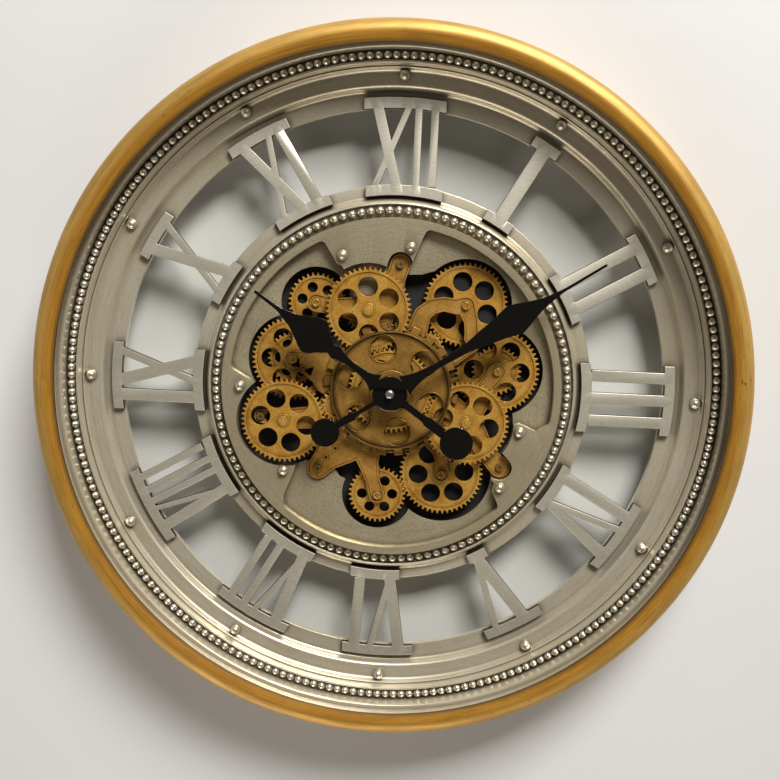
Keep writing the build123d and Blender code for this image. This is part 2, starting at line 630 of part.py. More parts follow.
FLANGE_R = 297.0
BACK_FRONT = 5.5
with BuildPart() as dial_surround:
    with BuildSketch(RADIAL):
        with BuildLine():
            Polyline((WINDOW_OUTER_R, SEAT_BACK), (WINDOW_OUTER_R, SEAT_DEPTH), (250.4, SEAT_DEPTH))
            Spline((250.4, SEAT_DEPTH), (252.2, 30.4), (252.8, 33.6), (BAND_INNER_R, BAND_DEPTH),
                   tangents=((1, 0), (1, 0)))
            Line((BAND_INNER_R, BAND_DEPTH), (BAND_OUTER_R, BAND_DEPTH))
            ThreePointArc((BAND_OUTER_R, BAND_DEPTH), (269.6, 40.2), (270.6, 46.5))
            Polyline((270.6, 46.5), (272.0, 46.5), (272.6, 44.2), (281.2, 44.2), (281.2, 60.0),
                     (282.0, 60.8), (284.2, 60.8), (284.2, 72.2), (FLANGE_R, 72.2), (FLANGE_R, 69.4),
                     (287.2, 69.4), (287.2, 41.2), (272.6, 41.2), (267.6, 33.0), (253.6, 33.0),
                     (250.6, 26.0), (240.0, 26.0), (239.0, SEAT_BACK), (WINDOW_OUTER_R, SEAT_BACK))
        make_face()
    revolve(axis=Axis.Y)
    # bosses for the screws of the back ring
    with BuildSketch(level(BACK_FRONT)):
        for point in CASE_SCREWS:
            with Locations(point):
                Circle(4.5)
    extrude(amount=41.5 - BACK_FRONT)
    with BuildSketch(level(BACK_FRONT)):
        for point in CASE_SCREWS:
            with Locations(point):
                Circle(SCREW_R)
    extrude(amount=SCREW_LENGTH, mode=Mode.SUBTRACT)
save(dial_surround, "dial_surround")

INNER_BEAD_FLOOR = 34.8
TRAY_FRONT = 31.5
with BuildPart() as inner_ring:
    with BuildSketch(RADIAL):
        with BuildLine():
            Polyline((WINDOW_INNER_R, SEAT_BACK), (WINDOW_INNER_R, SEAT_DEPTH), (164.2, SEAT_DEPTH))
            Spline((164.2, SEAT_DEPTH), (161.8, 30.6), (160.6, 35.0), (158.6, 37.4),
                   tangents=((-1, 0), (-1, 0)))
            Polyline((158.6, 37.4), (157.4, 37.4), (157.0, INNER_BEAD_FLOOR), (147.0, INNER_BEAD_FLOOR),
                     (147.0, DIAL_BACK), (140.4, DIAL_BACK), (140.4, 31.5), (155.0, 31.5), (159.6, 26.4),
                     (170.0, 26.4), (171.0, SEAT_BACK), (WINDOW_INNER_R, SEAT_BACK))
        make_face()
    revolve(axis=Axis.Y)
    with BuildSketch(level(TRAY_FRONT)):
        for point in TRAY_SCREWS:
            with Locations(point):
                Circle(SCREW_R)
    extrude(amount=DIAL_BACK - TRAY_FRONT, mode=Mode.SUBTRACT)
save(inner_ring, "inner_ring")


def bead_ring(name, circle_r, count, floor, centre_depth):
    """A strand of round beads, each cut flat where it sits on the floor of its channel."""
    low = centre_depth - floor
    foot = math.sqrt(BEAD_R**2 - low**2)
    with BuildPart() as beads:
        with BuildSketch(RADIAL):
            with BuildLine():
                Line((0, -low), (foot, -low))
                ThreePointArc((foot, -low), (BEAD_R, 0), (0, BEAD_R))
                Line((0, BEAD_R), (0, -low))
            make_face()
        dome = revolve(axis=Axis.Y, mode=Mode.PRIVATE)
        for i in range(count):
            x, z = polar(circle_r, 360 * i / count)
            add(Pos(x, -centre_depth, z) * dome)
    save(beads, name)


bead_ring("outer_bead_ring", OUTER_BEAD_CIRCLE_R, OUTER_BEADS, 44.2, 45.6)
bead_ring("inner_bead_ring", INNER_BEAD_CIRCLE_R, INNER_BEADS, INNER_BEAD_FLOOR, 36.4)

# ---------------------------------------------------------------- numerals
BAR_OUTER = (236.5, 245.5)     # radii of the outer serif bar
BAR_INNER = (165.0, 174.0)
STROKE_TOP = 238.0             # strokes run a little way into both bars
STROKE_FOOT = 172.6


def upright(at, width):
    """A stroke given by its middle across the numeral at its top and foot, and its width at both."""
    return (at, at, width, width)


def slant(top, foot, width):
    return (top, foot, width, width)


def taper(top, foot, top_width, foot_width):
    return (top, foot, top_width, foot_width)


# hour: (strokes, outer bar from-to, inner bar from-to), across the numeral, clockwise positive
NUMERALS = {
    1: ([upright(0, 12.3)], (-12.5, 12.5), (-13, 13)),
    2: ([upright(-11.5, 11), upright(11.5, 11)], (-22.5, 22.5), (-22.5, 22.5)),
    3: ([upright(-19.5, 10), upright(0, 10), upright(19.5, 10)], (-30.5, 30.5), (-30, 30)),
    4: ([upright(-15.5, 10.5), slant(-2.5, 10.5, 6), taper(24, 11.5, 12, 7)], (-29, 37), (-25, 20)),
    5: ([slant(-10.5, 2, 11), slant(16.5, 3.5, 6)], (-27, 28), (-8, 10)),
    6: ([slant(-17, -6.5, 10.5), slant(9, -6.5, 6), taper(23.5, 20, 9.5, 9.5)], (-30, 34), (-15, 29)),
    7: ([slant(-26.5, -16, 10.5), slant(-4.5, -16, 5), upright(6.5, 7.5), upright(20, 7.5)],
        (-39, 31), (-24, 29)),
    8: ([slant(-18, -12.5, 10), slant(0, -12.5, 4.5), upright(7, 6.5), upright(18, 6.5), upright(30.5, 6.5)],
        (-31, 39), (-21, 36)),
    9: ([upright(-16.5, 10.5), slant(-4, 15, 10.5), slant(22.5, -2, 7)], (-29.5, 29.5), (-28, 26)),
    10: ([slant(-9, 9.5, 10.5), slant(15.5, -9, 6.5)], (-19, 24), (-19, 20)),
    11: ([slant(-17, 4.5, 9.5), slant(7, -13, 5.5), taper(16.5, 18.5, 9, 9)], (-29, 27), (-22, 29)),
    12: ([slant(-21.5, -3.5, 9), slant(5, -21, 5.7), upright(13, 6.3), upright(26.8, 6.6)],
         (-33, 36), (-29, 36)),
}

for hour, (strokes, outer_bar, inner_bar) in NUMERALS.items():
    def place(across, radius):
        return turned(across, radius, -30 * hour)

    with BuildPart() as numeral:
        with BuildSketch(level(SEAT_DEPTH)):
            for top, foot, top_width, foot_width in strokes:
                with BuildLine():
                    Polyline(
                        place(top - top_width / 2, STROKE_TOP), place(top + top_width / 2, STROKE_TOP),
                        place(foot + foot_width / 2, STROKE_FOOT), place(foot - foot_width / 2, STROKE_FOOT),
                        close=True,
                    )
                make_face()
            for (inner, outer), (start, end) in ((BAR_OUTER, outer_bar), (BAR_INNER, inner_bar)):
                mid = (start + end) / 2
                low = [place(x, math.sqrt(inner**2 - x**2)) for x in (start, mid, end)]
                high = [place(x, math.sqrt(outer**2 - x**2)) for x in (start, mid, end)]
                with BuildLine():
                    Line(low[0], high[0])
                    ThreePointArc(*high)
                    Line(high[2], low[2])
                    ThreePointArc(*reversed(low))
                make_face()
        extrude(amount=NUMERAL_THICKNESS)
    save(numeral, f"numeral_{hour:02d}")

# ---------------------------------------------------------------- dial plate
# circular bays of the opening in the plate, one around each wheel
BAYS = [
    (TOP_LEFT, 30.5), (UPPER_RIGHT, 39.5), (RIGHT, 39.5), (LOWER_RIGHT, 41.0),
    (BOTTOM_RIGHT, 43.5), (BOTTOM, 31.0), (LEFT, 41.0), (UPPER_LEFT, 39.5),
]
OPENING_MIDDLE = [
    (-60, 60), (-40, 76), (8, 76), (8, 99), (22, 99.5), (36, 104), (45, 110), (60, 74), (75, 30), (66, -25),
    (47, -73), (-8, -94), (-42, -80), (-47, -72), (-60, -67), (-85, -67), (-90, -30), (-80, 40),
]
RECESS_R = DIAL_R - DIAL_RIM_WIDTH
RECESS_CORNER_R = 5.0
RECESSES = [
    (116.5, 174.5,
     [(-121, 3), (-100, 5), UPPER_LEFT, TOP_LEFT, (-40, 95), (-46, 104), (-50, 105.5)]),
    (-9.5, 79.7,
     [(21.5, 130), (15.5, 114.5), (10, 100), (30, 95), UPPER_RIGHT, RIGHT, LOWER_RIGHT, (105.5, -26),
      (112, -24), (127, -30)]),
    (230, 315,
     [(92, -84), (93.5, -77), (66, -50), (0, -60), (-60, -60), (-80, -69), (-81.5, -76), (-90, -98)]),
]
ARM_POCKETS = [((3.5, 107.5), (-2, 88), 10.3), ((97.5, -64), (84, -50), 10.5)]
TOP_WHEEL_BAY_R = 40.0


def capsule(start, start_r, end, end_r):
    """The outline round two circles: both discs and the quadrilateral between their common tangents."""
    dx, dy = end[0] - start[0], end[1] - start[1]
    aim = math.degrees(math.atan2(dy, dx))
    spread = math.degrees(math.acos((start_r - end_r) / math.hypot(dx, dy)))
    with Locations(start):
        Circle(start_r)
    with Locations(end):
        Circle(end_r)
    with BuildLine() as outline:
        Polyline(
            polar(start_r, aim + spread, start), polar(end_r, aim + spread, end),
            polar(end_r, aim - spread, end), polar(start_r, aim - spread, start), close=True,
        )
    make_face(outline.edges())


def opening():
    """The opening in the dial plate, as a sketch in the builder that calls it."""
    for centre, radius in BAYS:
        with Locations(centre):
            Circle(radius)
    with BuildLine() as outline:
        Polyline(*OPENING_MIDDLE, close=True)
    make_face(outline.edges())


def crescent(start_angle, end_angle, inner_points):
    """A recess under the rim of the plate: counter-clockwise between two angles, then back inside."""
    start = polar(RECESS_R, start_angle)
    end = polar(RECESS_R, end_angle)
    with BuildLine() as outline:
        ThreePointArc(start, polar(RECESS_R, (start_angle + end_angle) / 2), end)
        Polyline(end, *inner_points, start)
    recess = make_face(outline.edges(), mode=Mode.PRIVATE).face()
    corners = recess.vertices().sort_by(lambda corner: math.hypot(corner.X, corner.Y))[-2:]
    add(recess.fillet_2d(RECESS_CORNER_R, corners))


with BuildPart() as dial_plate:
    with BuildSketch(level(DIAL_BACK)):
        Circle(DIAL_R)
    extrude(amount=DIAL_HIGH - DIAL_BACK)
    with BuildSketch(level(DIAL_LOW)):
        for start, end, inner_points in RECESSES:
            crescent(start, end, inner_points)
        with Locations(TOP):
            Circle(TOP_WHEEL_BAY_R)
        for start, end, radius in ARM_POCKETS:
            capsule(start, radius, end, radius)
    extrude(amount=DIAL_HIGH - DIAL_LOW, mode=Mode.SUBTRACT)
    with BuildSketch(level(DIAL_BACK)):
        opening()
    extrude(amount=DIAL_HIGH - DIAL_BACK, mode=Mode.SUBTRACT)
    with BuildSketch(level(DIAL_BACK)):
        for point in BRIDGE_SCREWS[:3]:
            with Locations(point):
                Circle(SCREW_R)
    extrude(amount=DIAL_HIGH - DIAL_BACK, mode=Mode.SUBTRACT)
save(dial_plate, "dial_plate")

# ---------------------------------------------------------------- main bridge
# arms as chains of (point, radius), each chain starting at its outer end
ARMS = [
    [(BRIDGE_SCREWS[0], 8.5), ((-2, 88), 8), ((-15, 60), 14)],
    [(TOP_LEFT, 7.6), ((-52, 69), 7), (TOP, 12), ((-10, 35), 18)],
    [(UPPER_LEFT, 7.8), ((-75, 20), 9.5), ((-62, 17), 13.5), ((-48, 10), 20)],
    [(BRIDGE_SCREWS[2], 9.3), ((-52, -62), 12), ((-40, -48), 20)],
    [(BOTTOM, 6.8), ((-13, -80), 6), ((-17, -65), 9), ((-20, -50), 14)],
    [(BOTTOM_RIGHT, 7.3), ((47, -63), 4.5), ((47, -50), 9), ((30, -30), 12)],
    [(BRIDGE_SCREWS[1], 9), ((86, -53), 7.5), ((75, -35), 10), (LOWER_RIGHT, 12), ((40, -15), 20)],
    [(RIGHT, 7.6), ((83, 8), 7), ((78, -5), 9), (LOWER_RIGHT, 10)],
    [((40, 15), 9), ((48, 25), 6), ((60, 34), 5), ((70, 42), 5), ((66, 47), 5)],
    [((20, 50), 9), ((24, 66), 7), ((32, 73), 6.5), ((42, 75.5), 6), ((52, 74), 6.5), (UPPER_RIGHT, 7.8),
     ((66, 62), 6), ((67, 52), 6), ((66, 47), 5)],
    [(BRIDGE_SCREWS[3], 5.5), (LEFT, 9), ((-60, -27), 10), ((-45, -18), 16)],
]
BRIDGE_HUB_R = 56.0
BRIDGE_EYES = [(-54, -63), (-46, -54.5), (-77, 15)]
BRIDGE_EYE_R = 1.2
PIVOTS = [
    TOP, TOP_LEFT, LOWER_RIGHT, RIGHT, BOTTOM_RIGHT, BOTTOM, LEFT_IDLER_AT, LEFT, UPPER_IDLER_AT, UPPER_RIGHT,
    UPPER_LEFT,
]
with BuildPart() as main_bridge:
    with BuildSketch(level(BRIDGE[0])):
        Circle(BRIDGE_HUB_R)
        for arm in ARMS:
            for (start, start_r), (end, end_r) in zip(arm, arm[1:]):
                capsule(start, start_r, end, end_r)
        Circle(CENTRE_TUBE_R + TUBE_GAP, mode=Mode.SUBTRACT)
        for point in PIVOTS:
            with Locations(point):
                Circle(FRONT_PIVOT_R + RUNNING, mode=Mode.SUBTRACT)
        for point in BRIDGE_SCREWS:
            with Locations(point):
                Circle(SCREW_R, mode=Mode.SUBTRACT)
        for point in BRIDGE_EYES:
            with Locations(point):
                Circle(BRIDGE_EYE_R, mode=Mode.SUBTRACT)
    extrude(amount=BRIDGE[1] - BRIDGE[0])
save(main_bridge, "main_bridge")

# ---- castle-edged ring fixed on the bridge
CASTLE_R = 58.0
CASTLE_ROOT_R = 52.5
CASTLE_TEETH = 24
with BuildPart() as castle_ring:
    with BuildSketch(level(CASTLE[0])):
        Circle(CASTLE_R)
        for i in range(CASTLE_TEETH):
            with Locations(Location((*polar(CASTLE_R, 92 + 15 * i), 0), 92 + 15 * i)):
                Rectangle(2 * (CASTLE_R - CASTLE_ROOT_R), 6.6, mode=Mode.SUBTRACT)
        Circle(CENTRE_TUBE_R + TUBE_GAP, mode=Mode.SUBTRACT)
        with Locations(LEFT_IDLER_AT):
            Circle(FRONT_PIVOT_R + 0.5, mode=Mode.SUBTRACT)
    extrude(amount=CASTLE[1] - CASTLE[0])
save(castle_ring, "castle_ring")

# ---------------------------------------------------------------- tray that carries the wheels
TRAY_R = 150.0
TRAY_WALL_R = 140.4
POST_R = 4.5
with BuildPart() as gear_tray:
    with BuildSketch(level(FLOOR[0])):
        Circle(TRAY_R)
    extrude(amount=FLOOR[1] - FLOOR[0])
    with BuildSketch(level(FLOOR[1])):
        Circle(TRAY_R)
        Circle(TRAY_WALL_R, mode=Mode.SUBTRACT)
    extrude(amount=TRAY_FRONT - FLOOR[1])
    with BuildSketch(level(FLOOR[1])):
        for point in BRIDGE_SCREWS[:3]:
            with Locations(point):
                Circle(POST_R)
    extrude(amount=DIAL_BACK - FLOOR[1])
    with BuildSketch(level(FLOOR[1])):
        with Locations(BRIDGE_SCREWS[3]):
            Circle(POST_R)
    extrude(amount=BRIDGE[0] - FLOOR[1])
    with BuildSketch(level(FLOOR[1])):
        with Locations(UPPER_LEFT_IDLER_AT):
            Circle(STUD_R)
    extrude(amount=REAR_LEVEL[1] + 0.4 - FLOOR[1])
    with BuildSketch(level(FLOOR[0])):
        Circle(BUSH_R)
        with Locations(MOTOR):
            Circle(MOTOR_BOSS_R)
        for point in PIVOTS:
            with Locations(point):
                Circle(PIVOT_R + RUNNING)
        for point in TRAY_SCREWS + BRIDGE_SCREWS:
            with Locations(point):
                Circle(SCREW_R)
    extrude(amount=BRIDGE[0] - FLOOR[0], mode=Mode.SUBTRACT)
save(gear_tray, "gear_tray")

# ---------------------------------------------------------------- battery box of the wheel drive
BOX_AT = (0, -82)
BOX_W, BOX_H = 60.0, 33.0
BOX_BACK = 5.0
BOX_WALL = 1.6
BOX_SLIT = 0.3
DOOR = (3.6, 4.7)
LIP = (2.6, 3.3)
SWITCH_AT = (-36.5, -82)
SWITCH_TRAVEL = 3.0
SWITCH_BACK = 10.0
SWITCH_WALL = 1.2
SWITCH_TAG = 4.4         # side of the square slider
SWITCH_LEVER = 2.4
with BuildPart() as drive_battery_box:
    with BuildSketch(level(BOX_BACK)):
        with Locations(BOX_AT):
            Rectangle(BOX_W, BOX_H)
    extrude(amount=FLOOR[0] - BOX_BACK)
    with BuildSketch(level(BOX_BACK)):
        with Locations(BOX_AT):
            Rectangle(BOX_W - 2 * BOX_WALL, BOX_H - 2 * BOX_WALL)
    extrude(amount=FLOOR[0] - BOX_BACK - BOX_WALL, mode=Mode.SUBTRACT)
    # guides of the sliding door, an L along each long side
    with BuildSketch(level(LIP[0])):
        for side in (-1, 1):
            with Locations((0, BOX_AT[1] + side * (BOX_H / 2 + 1))):
                Rectangle(BOX_W, 2)
    extrude(amount=BOX_BACK + 2 - LIP[0])
    with BuildSketch(level(LIP[0])):
        for side in (-1, 1):
            with Locations((0, BOX_AT[1] + side * (BOX_H / 2 - 0.5))):
                Rectangle(BOX_W, 3)
    extrude(amount=LIP[1] - LIP[0])
    # switch housing at the left end
    with BuildSketch(level(SWITCH_BACK)):
        with Locations(SWITCH_AT):
            Rectangle(13, 16)
    extrude(amount=FLOOR[0] - SWITCH_BACK)
    with BuildSketch(level(SWITCH_BACK + SWITCH_WALL)):
        with Locations(SWITCH_AT):
            Rectangle(SWITCH_TAG + 0.6, SWITCH_TAG + SWITCH_TRAVEL + 0.6)
    extrude(amount=FLOOR[0] - SWITCH_BACK - SWITCH_WALL, mode=Mode.SUBTRACT)
    with BuildSketch(level(SWITCH_BACK)):
        with Locations(SWITCH_AT):
            Rectangle(SWITCH_LEVER + 0.6, SWITCH_LEVER + SWITCH_TRAVEL + 0.8)
    extrude(amount=2 * SWITCH_WALL, mode=Mode.SUBTRACT)
save(drive_battery_box, "drive_battery_box")

with BuildPart() as drive_battery_door:
    with BuildSketch(level(DOOR[0])):
        with Locations(BOX_AT):
            Rectangle(BOX_W - 1, BOX_H - 2 * BOX_SLIT)
    extrude(amount=DOOR[1] - DOOR[0])
    with BuildSketch(level(DOOR[0] - 0.8)):
        for i in range(5):
            with Locations((BOX_AT[0] + 20 - 2.4 * i, BOX_AT[1])):
                Rectangle(1.0, 16)
    extrude(amount=0.8)
save(drive_battery_door, "drive_battery_door")

with BuildPart() as drive_switch:
    with BuildSketch(level(SWITCH_BACK + SWITCH_WALL + 0.3)):
        with Locations((SWITCH_AT[0], SWITCH_AT[1] - SWITCH_TRAVEL / 2)):
            Rectangle(SWITCH_TAG, SWITCH_TAG)
    extrude(amount=4)
    with BuildSketch(level(SWITCH_BACK - 1.6)):
        with Locations((SWITCH_AT[0], SWITCH_AT[1] - SWITCH_TRAVEL / 2)):
            Rectangle(SWITCH_LEVER, SWITCH_LEVER)
    extrude(amount=3.2)
save(drive_switch, "drive_switch")

# ---------------------------------------------------------------- AA cells and the movement's circuit board
CELLS = [((0, CELL_Y), 13.3), ((0, BOX_AT[1] - 7.4), 12.6), ((0, BOX_AT[1] + 7.4), 12.6)]
with BuildPart() as aa_cells:
    for (x, y), depth in CELLS:
        with BuildSketch(Plane(origin=(x - CELL_LENGTH / 2, -depth, y), z_dir=(1, 0, 0))):
            Circle(CELL_R - 0.2)
        extrude(amount=CELL_LENGTH - CELL_NIB)
        with BuildSketch(Plane(origin=(x + CELL_LENGTH / 2 - CELL_NIB, -depth, y), z_dir=(1, 0, 0))):
            Circle(2.7)
        extrude(amount=CELL_NIB)
save(aa_cells, "aa_cells")

BOARD_DEPTH = 10.0
BOARD_THICKNESS = 1.2
COIL_R = 3.2
COIL_LENGTH = 22.0
COIL_START = (19.5, -13.9, -6)   # lower end of the stepping coil, on the board
with BuildPart() as circuit_board:
    with BuildSketch(level(BOARD_DEPTH)):
        with Locations((19.9, 7)):
            Rectangle(13.2, 28)
    extrude(amount=BOARD_THICKNESS)
    with BuildSketch(Plane(origin=COIL_START, z_dir=(0, 0, 1))):
        Circle(COIL_R)
    extrude(amount=COIL_LENGTH)
save(circuit_board, "circuit_board")

# ---------------------------------------------------------------- back of the case
BACK_INNER_R = 258.0
BACK_RING_R = 296.8
BACK_TUBE_END = 33.0
BACK_WALL = 3.0
BACK_FLOOR = (3.0, BACK_FRONT)
FLANGE_INNER_R = 285.0
HANGER_W, HANGER_H, HANGER_THICKNESS = 38.0, 23.0, 2.0
HANGER_Y = 274.5
KEYHOLE_R = 4.5
KEYHOLE_Y = 270.0
KEY_SLOT_W = 4.4
with BuildPart() as back_ring:
    with BuildSketch(RADIAL):
        with BuildLine():
            Polyline((BACK_INNER_R, 0), (FLANGE_INNER_R, 0), (FLANGE_INNER_R, BACK_FLOOR[0]),
                     (BACK_RING_R, BACK_FLOOR[0]), (BACK_RING_R, BACK_FLOOR[1]),
                     (BACK_INNER_R + BACK_WALL, BACK_FLOOR[1]), (BACK_INNER_R + BACK_WALL, BACK_TUBE_END),
                     (BACK_INNER_R, BACK_TUBE_END), close=True)
        make_face()
    revolve(axis=Axis.Y)
    with BuildSketch(level(0)):
        with Locations((0, HANGER_Y)):
            Rectangle(30, 18)
        for point in CASE_SCREWS:
            with Locations(point):
                Circle(SCREW_R)
    extrude(amount=BACK_FLOOR[1], mode=Mode.SUBTRACT)
    with BuildSketch(level(0)):
        for point in CASE_SCREWS:
            with Locations(point):
                Circle(SCREW_HEAD_R + 0.4)
    extrude(amount=CASE_SCREW_SEAT, mode=Mode.SUBTRACT)
save(back_ring, "back_ring")

with BuildPart() as hanger_plate:
    with BuildSketch(level(BACK_FLOOR[1])):
        with Locations((0, HANGER_Y)):
            RectangleRounded(HANGER_W, HANGER_H, 3)
        with Locations((0, KEYHOLE_Y)):
            Circle(KEYHOLE_R, mode=Mode.SUBTRACT)
        with Locations((0, KEYHOLE_Y + 5)):
            Rectangle(KEY_SLOT_W, 8, mode=Mode.SUBTRACT)
        with Locations((0, KEYHOLE_Y + 9)):
            Circle(KEY_SLOT_W / 2, mode=Mode.SUBTRACT)
    extrude(amount=HANGER_THICKNESS)
save(hanger_plate, "hanger_plate")


# ---------------------------------------------------------------- fasteners and ball rivets
def screws(points, seat, facing):
    """Pan-head screws with a cross recess, heads on a seat; facing +1 to the viewer, -1 to the wall."""
    plane = level(seat)
    if facing < 0:
        plane = Plane(origin=(0, -seat, 0), x_dir=(1, 0, 0), z_dir=(0, 1, 0))
    for x, y in points:
        with BuildSketch(plane) as head:
            with Locations((x, facing * y)):
                Circle(SCREW_HEAD_R)
        extrude(head.sketch, amount=SCREW_HEAD)
        with BuildSketch(plane.offset(SCREW_HEAD - 0.8)) as recess:
            with Locations((x, facing * y)):
                Rectangle(3.6, 0.8)
                Rectangle(0.8, 3.6)
        extrude(recess.sketch, amount=1.0, mode=Mode.SUBTRACT)
        with BuildSketch(plane) as shank:
            with Locations((x, facing * y)):
                Circle(SCREW_R)
        extrude(shank.sketch, amount=-SCREW_LENGTH)


with BuildPart() as case_screws:
    screws(BRIDGE_SCREWS, BRIDGE[1], 1)
    screws(TRAY_SCREWS, FLOOR[0], -1)
    screws(CASE_SCREWS, CASE_SCREW_SEAT, -1)
save(case_screws, "case_screws")

DIAL_RIVETS = [(-45.5, 113), (12, 122), (112.3, -31), (98.4, -80.5), (-90.2, -74.5), (-129.9, -2.1)]
RIVET_LOW = 1.5
with BuildPart() as ball_rivets:
    foot = math.sqrt(BALL_R**2 - RIVET_LOW**2)
    with BuildSketch(RADIAL):
        with BuildLine():
            Line((0, -RIVET_LOW), (foot, -RIVET_LOW))
            ThreePointArc((foot, -RIVET_LOW), (BALL_R, 0), (0, BALL_R))
            Line((0, BALL_R), (0, -RIVET_LOW))
        make_face()
    ball = revolve(axis=Axis.Y, mode=Mode.PRIVATE)
    for i in range(12):
        x, z = polar(RIVET_CIRCLE_R, 30 * i)
        add(Pos(x, -BAND_DEPTH - RIVET_LOW, z) * ball)
    for x, z in DIAL_RIVETS:
        add(Pos(x, -DIAL_HIGH - RIVET_LOW, z) * ball)
save(ball_rivets, "ball_rivets")
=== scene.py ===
"""Open-gear wall clock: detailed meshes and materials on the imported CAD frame.

Metres, +Z up, and the front faces -Y.
"""
import json
import math

import bmesh
import bpy
from mathutils import Matrix, Vector


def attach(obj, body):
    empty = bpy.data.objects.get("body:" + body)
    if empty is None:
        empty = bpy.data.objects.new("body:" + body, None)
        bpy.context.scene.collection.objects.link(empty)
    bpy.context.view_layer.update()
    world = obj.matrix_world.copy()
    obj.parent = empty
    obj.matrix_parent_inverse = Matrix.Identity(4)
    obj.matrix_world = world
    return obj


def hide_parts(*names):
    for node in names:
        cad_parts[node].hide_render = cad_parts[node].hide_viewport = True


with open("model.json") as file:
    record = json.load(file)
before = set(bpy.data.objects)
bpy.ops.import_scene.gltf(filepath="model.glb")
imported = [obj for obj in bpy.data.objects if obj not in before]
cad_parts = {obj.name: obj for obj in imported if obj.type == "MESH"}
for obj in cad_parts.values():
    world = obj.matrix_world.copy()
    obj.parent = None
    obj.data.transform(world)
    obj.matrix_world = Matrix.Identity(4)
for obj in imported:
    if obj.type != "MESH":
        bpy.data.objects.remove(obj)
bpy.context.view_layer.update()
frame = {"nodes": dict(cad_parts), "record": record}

RECORD = frame["record"]
BODY_OF = {node: body for body, nodes in RECORD["behaviour"]["bodies"].items() for node in nodes}
MM = 0.001

# ---------------------------------------------------------------- sizes, mm; h is the distance from the wall
RIM_INNER_R = 279.9
GLASS_R, GLASS = 292.0, (72.5, 75.0)
COATING = 0.4                        # the share of its mirror image that the low-glare glass keeps
SEAT = 29.0                          # the rings' flats that carry the numerals
BAND = 36.0                          # the flat that carries the twelve rivets
OUTER_BEADS = (276.7, 240, 45.6)     # circle radius, count, height of the centres
INNER_BEADS = (152.5, 120, 36.4)
BEAD_R, BEAD_SINK = 3.4, 1.4         # a sink is how far below its middle a ball is cut flat
BALL_R, BALL_SINK = 4.4, 1.5
RIVET_CIRCLE_R = 262.3
BOSS_CIRCLE_R = 278                  # six screw bosses behind the surround
DIAL_RIVETS = [(-45.5, 113), (12, 122), (112.3, -31), (98.4, -80.5), (-90.2, -74.5), (-129.9, -2.1)]
DIAL_RIVET_SEAT = 45.6
REAR, MIDDLE, FRONT = (27.2, 31.0), (32.0, 36.0), (43.2, 47.0)     # back and front of each wheel level
CASTLE = (40.0, 42.6)
PIVOT, SPACER = (22.7, 27.2), (25.1, 36.5)      # an arbor's thin end in the tray, and its thick middle
HOUR_HAND, MINUTE_HAND = (64.0, 65.6), (67.4, 69.0)
MODULE = 1.42
TUBE_R, TUBE_BORE_R = 7.0, 4.05      # the centre tube, which carries the centre gear and the disc
DISC_R, DISC_HOLE_R, DISC_LIP_R, DISC_HOLE_CIRCLE_R = 51.2, 11.4, 12.6, 36.6
HUB_R = 14.4                         # both hands
# bearings between neighbouring wheel centres, degrees
TOP_AT, LOWER_RIGHT_AT, LEFT_AT, UPPER_RIGHT_AT, UPPER_LEFT_AT = 107.9, -20.9, 198.6, 50.9, 165.4
TOP_LEFT_AT, RIGHT_AT, BOTTOM_RIGHT_AT, BOTTOM_AT = 174.6, 61.4, 248.3, 201.3


def polar(radius, angle, centre=(0, 0)):
    a = math.radians(angle)
    return (centre[0] + radius * math.cos(a), centre[1] + radius * math.sin(a))


def place(x, y, h):
    """A point of the dial in the row frame, metres."""
    return Vector((x * MM, -h * MM, y * MM))


# ---------------------------------------------------------------- mesh helpers
def add_object(name, mesh, node, material, smooth=32):
    """A new mesh piece that stands for a CAD node, rides with it and takes its finish."""
    piece = bpy.data.objects.new(name, mesh)
    bpy.context.scene.collection.objects.link(piece)
    mesh.materials.clear()
    mesh.materials.append(material)
    mesh.shade_smooth()
    mesh.set_sharp_from_angle(angle=math.radians(smooth))
    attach(piece, BODY_OF[node])
    return piece


def flat_faces(piece):
    """Lets the large faces set the normals, so that they stay flat between rounded edges."""
    level = piece.modifiers.new("flat", "WEIGHTED_NORMAL")
    level.weight = 100
    level.keep_sharp = True


def mesh_of(name, vertices, faces):
    mesh = bpy.data.meshes.new(name)
    mesh.from_pydata(vertices, [], faces)
    mesh.update()
    return mesh


def rounded(profile, radius, steps=3):
    """A closed profile with its corners rounded; a point may carry its own radius as a third value."""
    out = []
    count = len(profile)
    for i, point in enumerate(profile):
        size = point[2] if len(point) > 2 else radius
        here = Vector(point[:2])
        before = Vector(profile[i - 1][:2])
        after = Vector(profile[(i + 1) % count][:2])
        to_before, to_after = before - here, after - here
        size = min(size, 0.45 * to_before.length, 0.45 * to_after.length)
        if size < 0.01:
            out.append(here)
            continue
        a = here + to_before.normalized() * size
        b = here + to_after.normalized() * size
        for k in range(steps + 1):
            t = k / steps
            out.append((1 - t) ** 2 * a + 2 * t * (1 - t) * here + t * t * b)
    return out


def lathe(name, profile, segments=360):
    """A ring turned about the dial axis from a closed (radius, h) profile."""
    vertices = []
    faces = []
    count = len(profile)
    for i in range(segments):
        a = 2 * math.pi * i / segments
        for r, h in profile:
            vertices.append(place(r * math.cos(a), r * math.sin(a), h))
    for i in range(segments):
        j = (i + 1) % segments
        for k in range(count):
            m = (k + 1) % count
            faces.append((i * count + k, i * count + m, j * count + m, j * count + k))
    mesh = mesh_of(name, vertices, faces)
    tidy = bmesh.new()
    tidy.from_mesh(mesh)
    bmesh.ops.recalc_face_normals(tidy, faces=tidy.faces)
    tidy.to_mesh(mesh)
    tidy.free()
    return mesh


